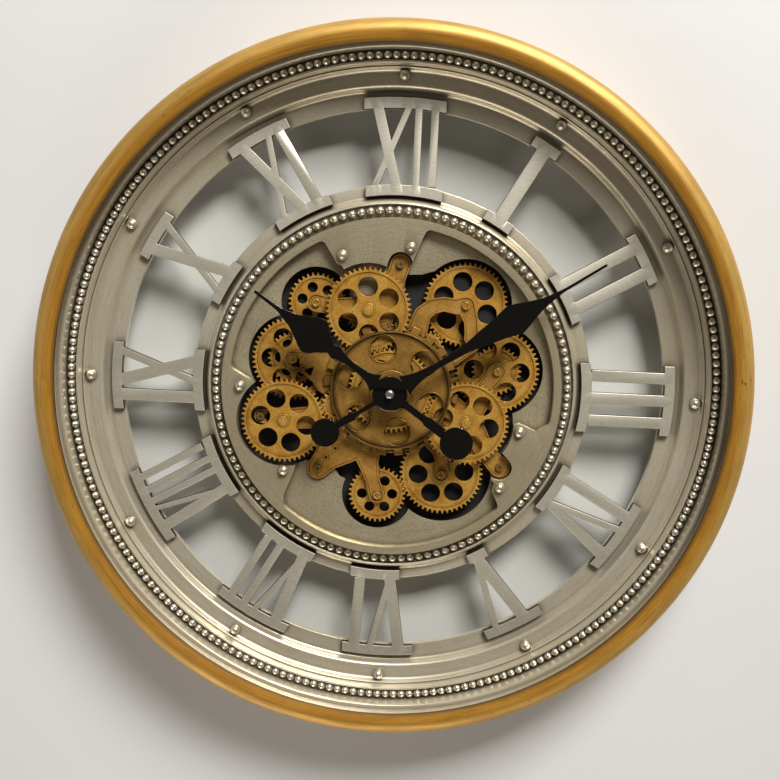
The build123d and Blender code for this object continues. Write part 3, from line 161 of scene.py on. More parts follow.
def prism(name, outlines, back, front, bevel=0.25):
    """A plate between two heights with the given closed outlines, the first outside and the rest holes."""
    curve = bpy.data.curves.new(name, "CURVE")
    curve.dimensions = "2D"
    curve.fill_mode = "BOTH"
    for outline in outlines:
        spline = curve.splines.new("POLY")
        spline.points.add(len(outline) - 1)
        for point, (x, y) in zip(spline.points, outline):
            point.co = (x * MM, y * MM, 0, 1)
        spline.use_cyclic_u = True
    curve.extrude = ((front - back) / 2 - bevel) * MM
    curve.bevel_depth = bevel * MM
    curve.bevel_resolution = 2
    curve.offset = -bevel * MM
    holder = bpy.data.objects.new(name, curve)
    bpy.context.scene.collection.objects.link(holder)
    bpy.context.view_layer.update()
    evaluated = holder.evaluated_get(bpy.context.evaluated_depsgraph_get())
    mesh = bpy.data.meshes.new_from_object(evaluated)
    bpy.data.objects.remove(holder)
    bpy.data.curves.remove(curve)
    to_dial = Matrix(((1, 0, 0, 0), (0, 0, -1, -(back + front) / 2 * MM), (0, 1, 0, 0), (0, 0, 0, 1)))
    mesh.transform(to_dial)
    weld = bmesh.new()
    weld.from_mesh(mesh)
    bmesh.ops.remove_doubles(weld, verts=weld.verts, dist=2e-6)
    bmesh.ops.recalc_face_normals(weld, faces=weld.faces)
    weld.to_mesh(mesh)
    weld.free()
    mesh.name = name
    return mesh


def joined(name, meshes):
    """One mesh made of several."""
    out = bmesh.new()
    for mesh in meshes:
        out.from_mesh(mesh)
    merged = bpy.data.meshes.new(name)
    out.to_mesh(merged)
    out.free()
    for mesh in meshes:
        bpy.data.meshes.remove(mesh)
    return merged


def circle(radius, centre=(0, 0), points=48):
    return [polar(radius, 360 * i / points, centre) for i in range(points)]


def dome(centre, h, radius, low, rings=10, segments=20):
    """A ball cut flat `low` below its middle, facing the viewer."""
    vertices = [place(centre[0], centre[1], h + radius)]
    faces = []
    bottom = math.acos(-low / radius)
    for k in range(1, rings + 1):
        lean = bottom * k / rings
        for i in range(segments):
            x, y = polar(radius * math.sin(lean), 360 * i / segments, centre)
            vertices.append(place(x, y, h + radius * math.cos(lean)))
    for i in range(segments):
        faces.append((0, 1 + i, 1 + (i + 1) % segments))
    for k in range(rings - 1):
        for i in range(segments):
            a = 1 + k * segments + i
            b = 1 + k * segments + (i + 1) % segments
            faces.append((a, a + segments, b + segments, b))
    last = 1 + (rings - 1) * segments
    faces.append(tuple(last + segments - 1 - i for i in range(segments)))
    return mesh_of("dome", vertices, faces)


def softened(node, material, width=0.4, steps=2, border=None):
    """The CAD node's own shape with its sharp edges bevelled, and an optional raised border."""
    mesh = frame["nodes"][node].data.copy()
    work = bmesh.new()
    work.from_mesh(mesh)
    bmesh.ops.remove_doubles(work, verts=work.verts, dist=2e-6)
    bmesh.ops.recalc_face_normals(work, faces=work.faces)
    if border:
        rim, groove, depth = border
        top = min(v.co.y for v in work.verts)
        face_set = [f for f in work.faces
                    if f.normal.y < -0.99 and abs(f.calc_center_median().y - top) < 1e-5]
        bmesh.ops.inset_region(work, faces=face_set, thickness=rim * MM, use_even_offset=True)
        sunk = [f for f in face_set if f.is_valid]
        bmesh.ops.inset_region(work, faces=sunk, thickness=groove * MM, use_even_offset=True)
        bmesh.ops.translate(work, vec=(0, depth * MM, 0), verts=list({v for f in sunk for v in f.verts}))
    work.to_mesh(mesh)
    work.free()
    piece = add_object(node + "_detail", mesh, node, material)
    bevel = piece.modifiers.new("edge", "BEVEL")
    bevel.width = width * MM
    bevel.segments = steps
    bevel.limit_method = "ANGLE"
    bevel.angle_limit = math.radians(30)
    bevel.harden_normals = True
    bevel.miter_outer = "MITER_ARC"
    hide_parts(node)
    return piece


# ---------------------------------------------------------------- materials
class Nodes:
    """A short way to write a node tree."""

    def __init__(self, name):
        self.material = bpy.data.materials.new(name)
        self.material.use_nodes = True
        self.tree = self.material.node_tree
        self.shader = self.tree.nodes["Principled BSDF"]
        coordinates = self.tree.nodes.new("ShaderNodeTexCoord")
        self.where = coordinates.outputs["Object"]
        self.normal = coordinates.outputs["Normal"]

    def add(self, kind, **settings):
        node = self.tree.nodes.new("ShaderNode" + kind)
        for key, value in settings.items():
            setattr(node, key, value)
        return node

    def link(self, a, b):
        self.tree.links.new(a, b)

    def math(self, operation, a, b=None):
        node = self.add("Math", operation=operation)
        for socket, value in zip(node.inputs, (a, b)):
            if value is None:
                continue
            if isinstance(value, (int, float)):
                socket.default_value = value
            else:
                self.link(value, socket)
        return node.outputs[0]

    def axes(self, vector):
        split = self.add("SeparateXYZ")
        self.link(vector, split.inputs[0])
        return split.outputs

    def radius(self):
        x, y, z = self.axes(self.where)
        return self.math("SQRT", self.math("ADD", self.math("MULTIPLY", x, x), self.math("MULTIPLY", z, z)))

    def walls(self, low=0.45, high=0.90):
        """1 on the side walls of a piece, 0 on the faces that look along the dial axis; the mask for painted
        shade on the walls.
        """
        across = self.math("ABSOLUTE", self.axes(self.normal)[1])
        return self.ramp(across, (low, 1.0), (high, 0.0))

    def crevice_shade(self, reach, low=0.35, high=0.85):
        """1 deep in corners and between pieces, 0 in the open; the mask for painted shade there."""
        shade = self.add("AmbientOcclusion", samples=6)
        shade.inputs["Distance"].default_value = reach
        return self.ramp(shade.outputs["AO"], (low, 1.0), (high, 0.0))

    def turned(self, radial, around, deep):
        """Coordinates on the dial: radius, angle and height, each stretched by its own factor."""
        x, y, z = self.axes(self.where)
        radius = self.radius()
        angle = self.math("ARCTAN2", z, x)
        join = self.add("CombineXYZ")
        self.link(self.math("MULTIPLY", radius, radial), join.inputs[0])
        self.link(self.math("MULTIPLY", angle, around), join.inputs[1])
        self.link(self.math("MULTIPLY", y, deep), join.inputs[2])
        return join.outputs[0]

    def stretched(self, scale):
        mapping = self.add("Mapping")
        mapping.inputs["Scale"].default_value = scale
        self.link(self.where, mapping.inputs[0])
        return mapping.outputs[0]

    def noise(self, vector, scale, detail=6, roughness=0.6):
        node = self.add("TexNoise")
        self.link(vector, node.inputs["Vector"])
        node.inputs["Scale"].default_value = scale
        node.inputs["Detail"].default_value = detail
        node.inputs["Roughness"].default_value = roughness
        node.inputs["Distortion"].default_value = 0.0
        return node.outputs["Fac"]

    def ramp(self, value, *stops):
        node = self.add("ValToRGB")
        while len(node.color_ramp.elements) < len(stops):
            node.color_ramp.elements.new(0.5)
        for element, (at, shade) in zip(node.color_ramp.elements, stops):
            element.position = at
            element.color = shade if isinstance(shade, tuple) else (shade, shade, shade, 1)
        self.link(value, node.inputs[0])
        return node.outputs[0]

    def mix(self, factor, a, b, blend="MIX"):
        node = self.add("Mix", data_type="RGBA", blend_type=blend)
        for socket, value in ((node.inputs[0], factor), (node.inputs[6], a), (node.inputs[7], b)):
            if isinstance(value, (int, float, tuple)):
                socket.default_value = value
            else:
                self.link(value, socket)
        return node.outputs[2]

    def finish(self, colour, metallic, roughness, bump=None, strength=0.1, distance=0.0003, coat=0.0):
        for socket, value in (("Base Color", colour), ("Metallic", metallic), ("Roughness", roughness)):
            if isinstance(value, (int, float, tuple)):
                self.shader.inputs[socket].default_value = value
            else:
                self.link(value, self.shader.inputs[socket])
        self.shader.inputs["Coat Weight"].default_value = coat
        self.shader.inputs["Coat Roughness"].default_value = 0.12
        if bump is not None:
            node = self.add("Bump")
            node.inputs["Strength"].default_value = strength
            node.inputs["Distance"].default_value = distance
            self.link(bump, node.inputs["Height"])
            self.link(node.outputs[0], self.shader.inputs["Normal"])
        return self.material


def rgb(r, g, b):
    return (r, g, b, 1.0)


def rim_material():
    """Antique gold leaf paint, brushed round the rim, with dark flecks of undercoat; painted shade makes it
    darker and redder inside the ridge and near black on the inner wall.
    """
    n = Nodes("rim_gold")
    streaks = n.noise(n.turned(900, 5, 900), 1.0, detail=8, roughness=0.78)
    broad = n.noise(n.turned(160, 8, 160), 1.0, detail=4)
    outer = n.ramp(streaks, (0.30, rgb(0.38, 0.212, 0.042)), (0.45, rgb(0.55, 0.330, 0.080)),
                   (0.58, rgb(0.60, 0.370, 0.097)), (0.75, rgb(0.70, 0.455, 0.150)))
    inner = n.ramp(streaks, (0.30, rgb(0.26, 0.105, 0.006)), (0.50, rgb(0.46, 0.215, 0.016)),
                   (0.75, rgb(0.66, 0.36, 0.050)))
    # painted shade: the face inside the ridge takes the darker, redder colours all round
    inner_face_shade = n.ramp(n.math("SUBTRACT", n.radius(), 0.2800), (0.0070, 1.0), (0.0105, 0.0))
    colour = n.mix(inner_face_shade, outer, inner)
    worn = n.ramp(broad, (0.30, rgb(0.78, 0.73, 0.66)), (0.62, rgb(1.0, 1.0, 1.0)))
    colour = n.mix(1.0, colour, worn, "MULTIPLY")
    flecks = n.ramp(n.noise(n.turned(420, 34, 420), 1.0, detail=3, roughness=0.8), (0.64, 0.0), (0.70, 0.9))
    patches = n.ramp(n.noise(n.where, 9.0, detail=3), (0.46, 0.1), (0.62, 1.0))
    colour = n.mix(n.math("MULTIPLY", flecks, patches), colour, rgb(0.075, 0.034, 0.014))
    # painted shade: the rim's inner edge and inner wall near black
    inner_wall_shade = n.ramp(n.math("SUBTRACT", n.radius(), 0.2796), (0.0006, 1.0), (0.0022, 0.0))
    colour = n.mix(inner_wall_shade, colour, rgb(0.060, 0.036, 0.016))
    rough = n.ramp(streaks, (0.3, 0.60), (0.7, 0.40))
    return n.finish(colour, 0.50, rough, bump=streaks, strength=0.22, distance=0.0003)


def silver_material(name, light, shade, tint, flake=0.30, shaded_channels=()):
    """Champagne silver paint over fine brushing, with painted shade in the grooves and corners and on the
    floor of each bead channel.
    """
    n = Nodes(name)
    brushed = n.noise(n.turned(1500, 12, 1500), 1.0, detail=6, roughness=0.75)
    colour = n.ramp(brushed, (0.32, shade), (0.68, light))
    patches = n.ramp(n.noise(n.where, 7.0, detail=5, roughness=0.65), (0.42, 0.0), (0.70, 0.75))
    colour = n.mix(patches, colour, tint)
    fleck = n.noise(n.where, 1600, detail=2)
    flecks = n.ramp(fleck, (0.38, rgb(0.125, 0.11, 0.086)), (0.64, rgb(0.87, 0.825, 0.735)))
    colour = n.mix(flake, colour, flecks, "OVERLAY")
    # painted shade in the grooves and corners
    colour = n.mix(n.crevice_shade(0.006, 0.30, 0.95), colour, rgb(0.085, 0.068, 0.042))
    radius = n.radius()
    height = n.math("MULTIPLY", n.axes(n.where)[1], -1.0)
    # painted shade on the floor of each bead channel, below the beads
    for inner, outer, floor in shaded_channels:
        outside = n.math("GREATER_THAN", radius, inner * MM)
        within = n.math("MULTIPLY", outside, n.math("LESS_THAN", radius, outer * MM))
        low = n.math("LESS_THAN", height, floor * MM)
        colour = n.mix(n.math("MULTIPLY", within, low), colour, rgb(0.15, 0.125, 0.085))
    roughness = n.ramp(brushed, (0.3, 0.42), (0.7, 0.26))
    relief = n.math("ADD", brushed, n.math("MULTIPLY", fleck, 0.4))
    return n.finish(colour, 0.60, roughness, bump=relief, strength=0.22, distance=0.0002)


def numeral_material():
    """Warm light silver with a fine straight grain, with painted shade down the side walls."""
    n = Nodes("numeral_silver")
    grain = n.noise(n.stretched((260, 900, 2400)), 1.0, detail=5, roughness=0.75)
    cloud = n.noise(n.where, 26, detail=4)
    colour = n.ramp(grain, (0.32, rgb(0.52, 0.49, 0.425)), (0.68, rgb(0.84, 0.80, 0.71)))
    colour = n.mix(n.ramp(cloud, (0.40, 0.0), (0.75, 0.50)), colour, rgb(0.60, 0.55, 0.46))
    # painted shade down the side walls
    colour = n.mix(n.walls(0.40, 0.80), colour, rgb(0.060, 0.048, 0.034))
    rough = n.ramp(grain, (0.3, 0.56), (0.7, 0.44))
    return n.finish(colour, 0.75, rough, bump=grain, strength=0.20, distance=0.0002)


def gear_material(name, dark, middle, bright):
    """Antique gold moulding, speckled, bright on the faces, with painted shade in brown on the walls and in
    the corners.
    """
    n = Nodes(name)
    cloud = n.noise(n.where, 70, detail=6, roughness=0.7)
    speck = n.noise(n.where, 900, detail=3, roughness=0.7)
    colour = n.ramp(cloud, (0.30, dark), (0.50, middle), (0.72, bright))
    colour = n.mix(n.ramp(speck, (0.57, 0.0), (0.70, 0.75)), colour, rgb(0.085, 0.036, 0.010))
    # painted shade on the walls and, below, in the corners
    colour = n.mix(n.walls(0.62, 0.93), colour, rgb(0.085, 0.038, 0.010))
    colour = n.mix(n.crevice_shade(0.003), colour, rgb(0.035, 0.016, 0.006))
    rough = n.ramp(cloud, (0.3, 0.48), (0.7, 0.32))
    return n.finish(colour, 0.55, rough, bump=speck, strength=0.18, distance=0.0002)


def disc_material():
    """The centre disc's paler gold, brushed round its axis, with painted shade on the walls, at the foot of
    the lip and in the corners.
    """
    n = Nodes("disc_gold")
    brushed = n.noise(n.turned(2200, 9, 2200), 1.0, detail=6, roughness=0.7)
    cloud = n.noise(n.where, 60, detail=5)
    colour = n.ramp(brushed, (0.30, rgb(0.50, 0.245, 0.042)), (0.70, rgb(0.86, 0.51, 0.13)))
    colour = n.mix(n.ramp(cloud, (0.42, 0.0), (0.70, 0.75)), colour, rgb(0.30, 0.140, 0.026))
    speck = n.noise(n.where, 900, detail=3, roughness=0.7)
    colour = n.mix(n.ramp(speck, (0.57, 0.0), (0.70, 0.7)), colour, rgb(0.085, 0.036, 0.010))
    # painted shade on the walls
    colour = n.mix(n.walls(0.62, 0.93), colour, rgb(0.10, 0.046, 0.012))
    # painted shade: a dark ring at the foot of the lip, all round
    from_lip = n.math("ABSOLUTE", n.math("SUBTRACT", n.radius(), 0.0490))
    lip_foot_shade = n.ramp(from_lip, (0.0003, 0.9), (0.0008, 0.0))
    colour = n.mix(lip_foot_shade, colour, rgb(0.050, 0.022, 0.007))
    # painted shade in the corners
    colour = n.mix(n.crevice_shade(0.004, 0.40, 0.90), colour, rgb(0.045, 0.022, 0.008))
    rough = n.ramp(brushed, (0.3, 0.44), (0.7, 0.28))
    return n.finish(colour, 0.66, rough, bump=brushed, strength=0.18, distance=0.0002)


def polished_material():
    """Bright bead plating, a little dulled, with painted shade where the beads meet."""
    n = Nodes("polished_silver")
    cloud = n.noise(n.where, 180, detail=4, roughness=0.65)
    colour = n.ramp(cloud, (0.32, rgb(0.64, 0.59, 0.485)), (0.62, rgb(0.93, 0.88, 0.77)))
    # painted shade where the beads meet
    colour = n.mix(n.crevice_shade(0.0018, 0.25, 0.70), colour, rgb(0.030, 0.026, 0.018))
    rough = n.ramp(cloud, (0.3, 0.42), (0.65, 0.28))
    return n.finish(colour, 0.85, rough, bump=cloud, strength=0.06, distance=0.0002)


def screw_material():
    """The screws: gold-painted heads in front of the bridge, plated steel behind the tray, with painted shade
    in the corners.
    """
    n = Nodes("screw_plating")
    marks = n.noise(n.stretched((300, 2600, 300)), 1.0, detail=5, roughness=0.7)
    steel = n.ramp(marks, (0.3, rgb(0.42, 0.42, 0.42)), (0.7, rgb(0.66, 0.66, 0.66)))
    gold = n.ramp(marks, (0.3, rgb(0.40, 0.23, 0.06)), (0.7, rgb(0.78, 0.52, 0.18)))
    in_front = n.math("LESS_THAN", n.axes(n.where)[1], -0.034)
    colour = n.mix(in_front, steel, gold)
    # painted shade in the corners
    colour = n.mix(n.crevice_shade(0.0016, 0.40, 0.85), colour, rgb(0.030, 0.018, 0.008))
    rough = n.ramp(marks, (0.3, 0.42), (0.7, 0.28))
    return n.finish(colour, 0.85, rough, bump=marks, strength=0.1, distance=0.0001)


def black_gloss_material():
    """Black lacquer with a faint orange-peel surface."""
    n = Nodes("black_lacquer")
    peel = n.noise(n.where, 260, detail=2)
    dust = n.noise(n.where, 2400, detail=2)
    colour = n.ramp(dust, (0.55, rgb(0.004, 0.004, 0.004)), (0.80, rgb(0.012, 0.012, 0.012)))
    rough = n.ramp(peel, (0.3, 0.10), (0.7, 0.17))
    return n.finish(colour, 0.0, rough, bump=peel, strength=0.04, distance=0.0003, coat=0.25)


def plastic_material(name, colour, lighter, rough=0.55, grain=1400):
    """Moulded plastic with a fine spark-eroded texture."""
    n = Nodes(name)
    spark = n.noise(n.where, grain, detail=4, roughness=0.7)
    cloud = n.noise(n.where, 30, detail=3)
    shade = n.mix(n.ramp(cloud, (0.3, 0.0), (0.7, 1.0)), colour, lighter)
    roughness = n.ramp(spark, (0.3, rough + 0.08), (0.7, rough - 0.06))
    return n.finish(shade, 0.0, roughness, bump=spark, strength=0.22, distance=0.0002)


def steel_material(name, colour, dark, rough=0.32):
    """Plated steel with drawing marks."""
    n = Nodes(name)
    marks = n.noise(n.stretched((300, 2600, 300)), 1.0, detail=5, roughness=0.7)
    cloud = n.noise(n.where, 120, detail=3)
    shade = n.ramp(marks, (0.3, dark), (0.7, colour))
    shade = n.mix(n.ramp(cloud, (0.5, 0.0), (0.8, 0.4)), shade, dark)
    roughness = n.ramp(marks, (0.3, rough + 0.12), (0.7, rough - 0.04))
    return n.finish(shade, 0.95, roughness, bump=marks, strength=0.1, distance=0.0001)


def board_material():
    """Green solder mask with lighter tracks."""
    n = Nodes("board_green")
    tracks = n.add("TexBrick")
    n.link(n.stretched((260, 260, 260)), tracks.inputs["Vector"])
    tracks.inputs["Color1"].default_value = rgb(0.020, 0.110, 0.045)
    tracks.inputs["Color2"].default_value = rgb(0.016, 0.090, 0.036)
    tracks.inputs["Mortar"].default_value = rgb(0.050, 0.210, 0.090)
    spark = n.noise(n.where, 900, detail=2)
    return n.finish(tracks.outputs[0], 0.0, 0.30, bump=spark, strength=0.05, distance=0.0001)


def cell_material():
    """Cell jackets: a copper-coloured band at the positive end, dark grey for the rest, metal at the ends."""
    n = Nodes("cell_jacket")
    along = n.math("ADD", n.math("MULTIPLY", n.axes(n.where)[0], 1 / 0.05), 0.5)
    colour = n.ramp(along, (0.0, rgb(0.60, 0.60, 0.62)), (0.02, rgb(0.030, 0.032, 0.036)),
                    (0.70, rgb(0.030, 0.032, 0.036)), (0.71, rgb(0.52, 0.25, 0.09)),
                    (0.97, rgb(0.60, 0.60, 0.62)))
    colour.node.color_ramp.interpolation = "CONSTANT"
    print_grain = n.noise(n.where, 700, detail=3)
    rough = n.ramp(print_grain, (0.3, 0.30), (0.7, 0.22))
    return n.finish(colour, 0.6, rough, bump=print_grain, strength=0.03, distance=0.0001)


def glass_material():
    """Thin clear low-glare glass: see-through, with a weak mirror image that grows towards grazing angles."""
    n = Nodes("clear_glass")
    n.tree.nodes.remove(n.shader)
    clear = n.add("BsdfTransparent")
    clear.inputs["Color"].default_value = rgb(0.966, 0.966, 0.950)
    mirror = n.add("BsdfGlossy")
    mirror.inputs["Roughness"].default_value = 0.012
    mirror.inputs["Color"].default_value = rgb(1, 1, 1)
    facing = n.add("Fresnel")
    facing.inputs["IOR"].default_value = 1.45
    side = n.add("NewGeometry")
    outward = n.math("SUBTRACT", 1.0, side.outputs["Backfacing"])
    mix = n.add("MixShader")
    mirrored = n.math("MULTIPLY", facing.outputs[0], COATING)
    n.link(n.math("MULTIPLY", mirrored, outward), mix.inputs[0])
    n.link(clear.outputs[0], mix.inputs[1])
    n.link(mirror.outputs[0], mix.inputs[2])
    n.link(mix.outputs[0], n.tree.nodes["Material Output"].inputs["Surface"])
    return n.material


def wall_material():
    """Matt pale wall paint with roller texture; nothing from behind, so that back views stay open."""
    n = Nodes("wall_paint")
    roller = n.noise(n.where, 420, detail=5, roughness=0.7)
    cloud = n.noise(n.where, 1.4, detail=3)
    colour = n.ramp(cloud, (0.3, rgb(0.62, 0.625, 0.625)), (0.7, rgb(0.67, 0.675, 0.675)))
    n.finish(colour, 0.0, 0.85, bump=roller, strength=0.10, distance=0.0004)
    clear = n.add("BsdfTransparent")
    side = n.add("NewGeometry")
    mix = n.add("MixShader")
    n.link(side.outputs["Backfacing"], mix.inputs[0])
    n.link(n.shader.outputs[0], mix.inputs[1])
    n.link(clear.outputs[0], mix.inputs[2])
    n.link(mix.outputs[0], n.tree.nodes["Material Output"].inputs["Surface"])
    return n.material


RIM_GOLD = rim_material()
# the surround's outer bead channel gets painted shade on its floor
SURROUND_SILVER = silver_material("surround_silver", rgb(0.92, 0.85, 0.735), rgb(0.62, 0.565, 0.470),
                                  rgb(0.67, 0.595, 0.465), shaded_channels=[(272.7, 281.0, 45.4)])
DIAL_SILVER = silver_material("dial_silver", rgb(0.72, 0.66, 0.52), rgb(0.46, 0.41, 0.305),
                              rgb(0.53, 0.455, 0.315), flake=0.55)
NUMERAL_SILVER = numeral_material()
POLISHED = polished_material()
GEAR_GOLD = gear_material("gear_gold", rgb(0.45, 0.200, 0.029), rgb(0.78, 0.405, 0.072),
                          rgb(0.97, 0.62, 0.160))
BRIDGE_GOLD = gear_material("bridge_gold", rgb(0.38, 0.175, 0.030), rgb(0.64, 0.335, 0.068),
                            rgb(0.86, 0.51, 0.14))
DISC_GOLD = disc_material()
SCREWS = screw_material()
LACQUER = black_gloss_material()
CHAMBER = plastic_material("chamber_black", rgb(0.010, 0.010, 0.011), rgb(0.016, 0.016, 0.017), rough=0.7)
BLACK_PLASTIC = plastic_material("black_plastic", rgb(0.028, 0.028, 0.030), rgb(0.042, 0.042, 0.044))
WHITE_PLASTIC = plastic_material("white_plastic", rgb(0.66, 0.65, 0.61), rgb(0.74, 0.73, 0.70), rough=0.4)
BACK_PAINT = plastic_material("back_paint", rgb(0.024, 0.024, 0.026), rgb(0.040, 0.040, 0.042),
                              rough=0.45, grain=700)
STEEL = steel_material("plated_steel", rgb(0.66, 0.66, 0.66), rgb(0.42, 0.42, 0.42))
MOTOR_STEEL = steel_material("motor_steel", rgb(0.50, 0.50, 0.51), rgb(0.30, 0.30, 0.31), rough=0.4)
BOARD = board_material()
CELL = cell_material()
GLASS_CLEAR = glass_material()

# ---------------------------------------------------------------- rim, glass and rings
rim_profile = rounded([
    (300, 0, 0.6), (300, 64, 0), (299.9, 70, 2), (298.6, 74.4, 2), (295.4, 77.9, 2), (292, 79.3, 1.5),
    (289.2, 79.8, 1.5), (286.6, 79.4, 1.0), (283.4, 78.3, 1.0), (RIM_INNER_R, 76.6, 0.4),
    (RIM_INNER_R, 75.3, 0.3), (292.4, 75.3, 0), (292.4, 72.3, 0), (297, 72.3, 0), (297, 3, 0.5),
    (285, 3, 0.5), (285, 0, 0.5),
], 0.5, steps=4)
rim_mesh = lathe("gold_rim_detail", rim_profile, 420)
rim = add_object("gold_rim_detail", rim_mesh, "gold_rim", RIM_GOLD, smooth=40)
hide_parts("gold_rim")

glass_mesh = prism("front_glass_detail", [circle(GLASS_R, points=256)], *GLASS, bevel=0.2)
glass = add_object("front_glass_detail", glass_mesh, "front_glass", GLASS_CLEAR, smooth=5)
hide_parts("front_glass")

surround_profile = rounded([
    (236.5, 24, 0.2), (236.5, SEAT, 0.5), (250.2, SEAT, 1.2), (251.9, 31.2, 1.4), (252.5, 34.4, 1.2),
    (254.4, BAND, 1.4), (264.9, BAND, 1.2), (266.9, 37.4, 0.9), (267.8, 40.2, 1.0), (268.5, 40.9, 0.4),
    (269.1, 40.1, 0.4), (270.2, 42.9, 0.8), (270.9, 46.6, 0.5), (272.7, 46.6, 0.5), (273.1, 44.2, 0.4),
    (280.3, 44.2, 0.3), (280.6, 49.0, 0.4), (280.9, 55.6, 0.4), (280.0, 56.6, 0.4), (280.0, 60.2, 0.6),
    (281.4, 60.8, 0.5), (284.2, 60.8, 0.3), (284.2, 72.2, 0), (297, 72.2, 0), (297, 69.4, 0.2),
    (287.2, 69.4, 0.5), (287.2, 41.2, 0.6), (272.6, 41.2, 0.6), (267.6, 33, 0.6), (253.6, 33, 0.6),
    (250.6, 26, 0.6), (240, 26, 0.6), (239, 24, 0.3),
], 0.5, steps=3)
boss_places = [polar(BOSS_CIRCLE_R, 60 * i) for i in range(6)]
bosses = [prism("boss", [circle(4.5, at), circle(1.4, at, 20)], 5.5, 41.5, 0.2) for at in boss_places]
surround_mesh = joined("dial_surround_detail", [lathe("turned", surround_profile, 420)] + bosses)
surround = add_object("dial_surround_detail", surround_mesh, "dial_surround", SURROUND_SILVER, smooth=38)
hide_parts("dial_surround")

inner_profile = rounded([
    (173.6, 24, 0.2), (173.6, SEAT, 0.5), (164.3, SEAT, 1.0), (162.3, 30.6, 1.2), (160.9, 34.2, 1.2),
    (159.3, 36.6, 1.0), (158.2, 37.5, 0.5), (157.3, 37.3, 0.4), (157.0, 34.8, 0.2), (147, 34.8, 0.2),
    (147, 34.5, 0), (140.4, 34.5, 0.1), (140.4, 31.5, 0.1), (155, 31.5, 0.4), (159.6, 26.4, 0.8),
    (170, 26.4, 0.4), (171, 24, 0.3),
], 0.4, steps=3)
inner_mesh = lathe("inner_ring_detail", inner_profile, 360)
inner = add_object("inner_ring_detail", inner_mesh, "inner_ring", SURROUND_SILVER, smooth=38)
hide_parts("inner_ring")

for node, (circle_r, count, height) in (("outer_bead_ring", OUTER_BEADS), ("inner_bead_ring", INNER_BEADS)):
    parts = [dome(polar(circle_r, 360 * i / count), height, BEAD_R, BEAD_SINK, rings=9, segments=18)
             for i in range(count)]
    beads = add_object(node + "_detail", joined(node + "_detail", parts), node, POLISHED, smooth=60)
    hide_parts(node)


def rivet(centre, level):
    """A ball whose flat underside lies at the given height."""
    return dome(centre, level + BALL_SINK, BALL_R, BALL_SINK, rings=12, segments=28)


balls = [rivet(polar(RIVET_CIRCLE_R, 30 * i), BAND) for i in range(12)]
balls += [rivet(point, DIAL_RIVET_SEAT) for point in DIAL_RIVETS]
rivet_mesh = joined("ball_rivets_detail", balls)
rivets = add_object("ball_rivets_detail", rivet_mesh, "ball_rivets", POLISHED, smooth=60)
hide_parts("ball_rivets")

# ---------------------------------------------------------------- numerals, dial plate, bridge
for hour in range(1, 13):
    softened(f"numeral_{hour:02d}", NUMERAL_SILVER, width=0.55, steps=3)
softened("dial_plate", DIAL_SILVER, width=1.6, steps=3)
softened("main_bridge", BRIDGE_GOLD, width=0.35, steps=2, border=(1.1, 0.7, 0.8))


# ---------------------------------------------------------------- wheels
def pitch_r(teeth):
    return MODULE * teeth / 2


def mesh_distance(a, b):
    return pitch_r(a) + pitch_r(b)


def phase_of_mate(teeth_a, phase_a, angle, teeth_b):
    """Angle of a tooth of wheel B in mesh with wheel A, where B lies at `angle` from A."""
    offset = ((angle - phase_a) * teeth_a / 360) % 1
    return angle + 180 - 360 / teeth_b * (0.5 - offset)


def gear_outline(teeth, phase, centre):
    """Teeth with curved flanks, rounded tips and rounded roots."""
    pitch = pitch_r(teeth)
    tip, root = pitch + 0.88 * MODULE, pitch - 1.12 * MODULE
    shape = []
    for t in (0.0, 0.12, 0.35, 0.6, 0.85, 1.0):
        radius = root + (tip - root) * t
        half = (0.95 - 0.50 * t - 0.20 * t * t) * MODULE
        shape.append((radius, math.degrees(half / radius)))
    shape[0] = (root, shape[0][1] + math.degrees(0.12 * MODULE / root))
    shape[-1] = (tip, shape[-1][1] * 0.75)
    points = []
    for tooth in range(teeth):
        middle = phase + 360 * tooth / teeth
        points += [polar(radius, middle - half, centre) for radius, half in shape]
        points += [polar(radius, middle + half, centre) for radius, half in reversed(shape)]
    return points


def wheel(centre, teeth, phase, level, hole_turn=0, hub=6.0):
    """A toothed band, a sunk web and a hub; a wheel of more than 30 teeth has six holes in its web."""
    back, front = level
    rim_inner = pitch_r(teeth) - 3.4
    outline = gear_outline(teeth, phase, centre)
    parts = [prism("band", [outline, circle(rim_inner, centre, 72)], back, front, 0.22)]
    if teeth > 30:
        hole_circle, hole_r = (20.2, 8.35) if teeth > 40 else (13.35, 4.45)
        web = [circle(rim_inner + 0.4, centre, 72)]
        web += [circle(hole_r, polar(hole_circle, hole_turn + 60 * i, centre), 40) for i in range(6)]
        parts.append(prism("web", web, back + 0.3, front - 0.85, 0.2))
        parts.append(prism("hub", [circle(hub, centre, 48)], back + 0.05, front - 0.1, 0.35))
        line = [circle(rim_inner - 1.5, centre, 72), circle(rim_inner - 1.9, centre, 72)]
        parts.append(prism("line", line, front - 1.2, front - 0.65, 0.08))
    else:
        hub_r = min(hub, rim_inner * 0.6)
        parts.append(prism("web", [circle(rim_inner + 0.4, centre, 60)], back + 0.3, front - 0.7, 0.2))
        parts.append(prism("hub", [circle(hub_r, centre, 40)], back + 0.1, front - 0.05, 0.3))
    return parts


def shaft(centre, radius, back, front, bevel=0.25):
    return prism("shaft", [circle(radius, centre, 32)], back, front, bevel)


def slotted_head(centre, radius, back, front):
    """A round head with a cross recess cut in its top."""
    bar = 0.18 * radius
    arm = 0.62 * radius
    cross = []
    for k in range(4):
        a = math.radians(20 + 90 * k)
        for x, y in ((arm, -bar), (arm, bar), (bar, bar)):
            cross.append((x * math.cos(a) - y * math.sin(a) + centre[0],
                          x * math.sin(a) + y * math.cos(a) + centre[1]))
    return [prism("head", [circle(radius, centre, 40), cross], back + 0.4, front, 0.25),
            prism("head_base", [circle(radius, centre, 40)], back, front - 0.7, 0.1)]


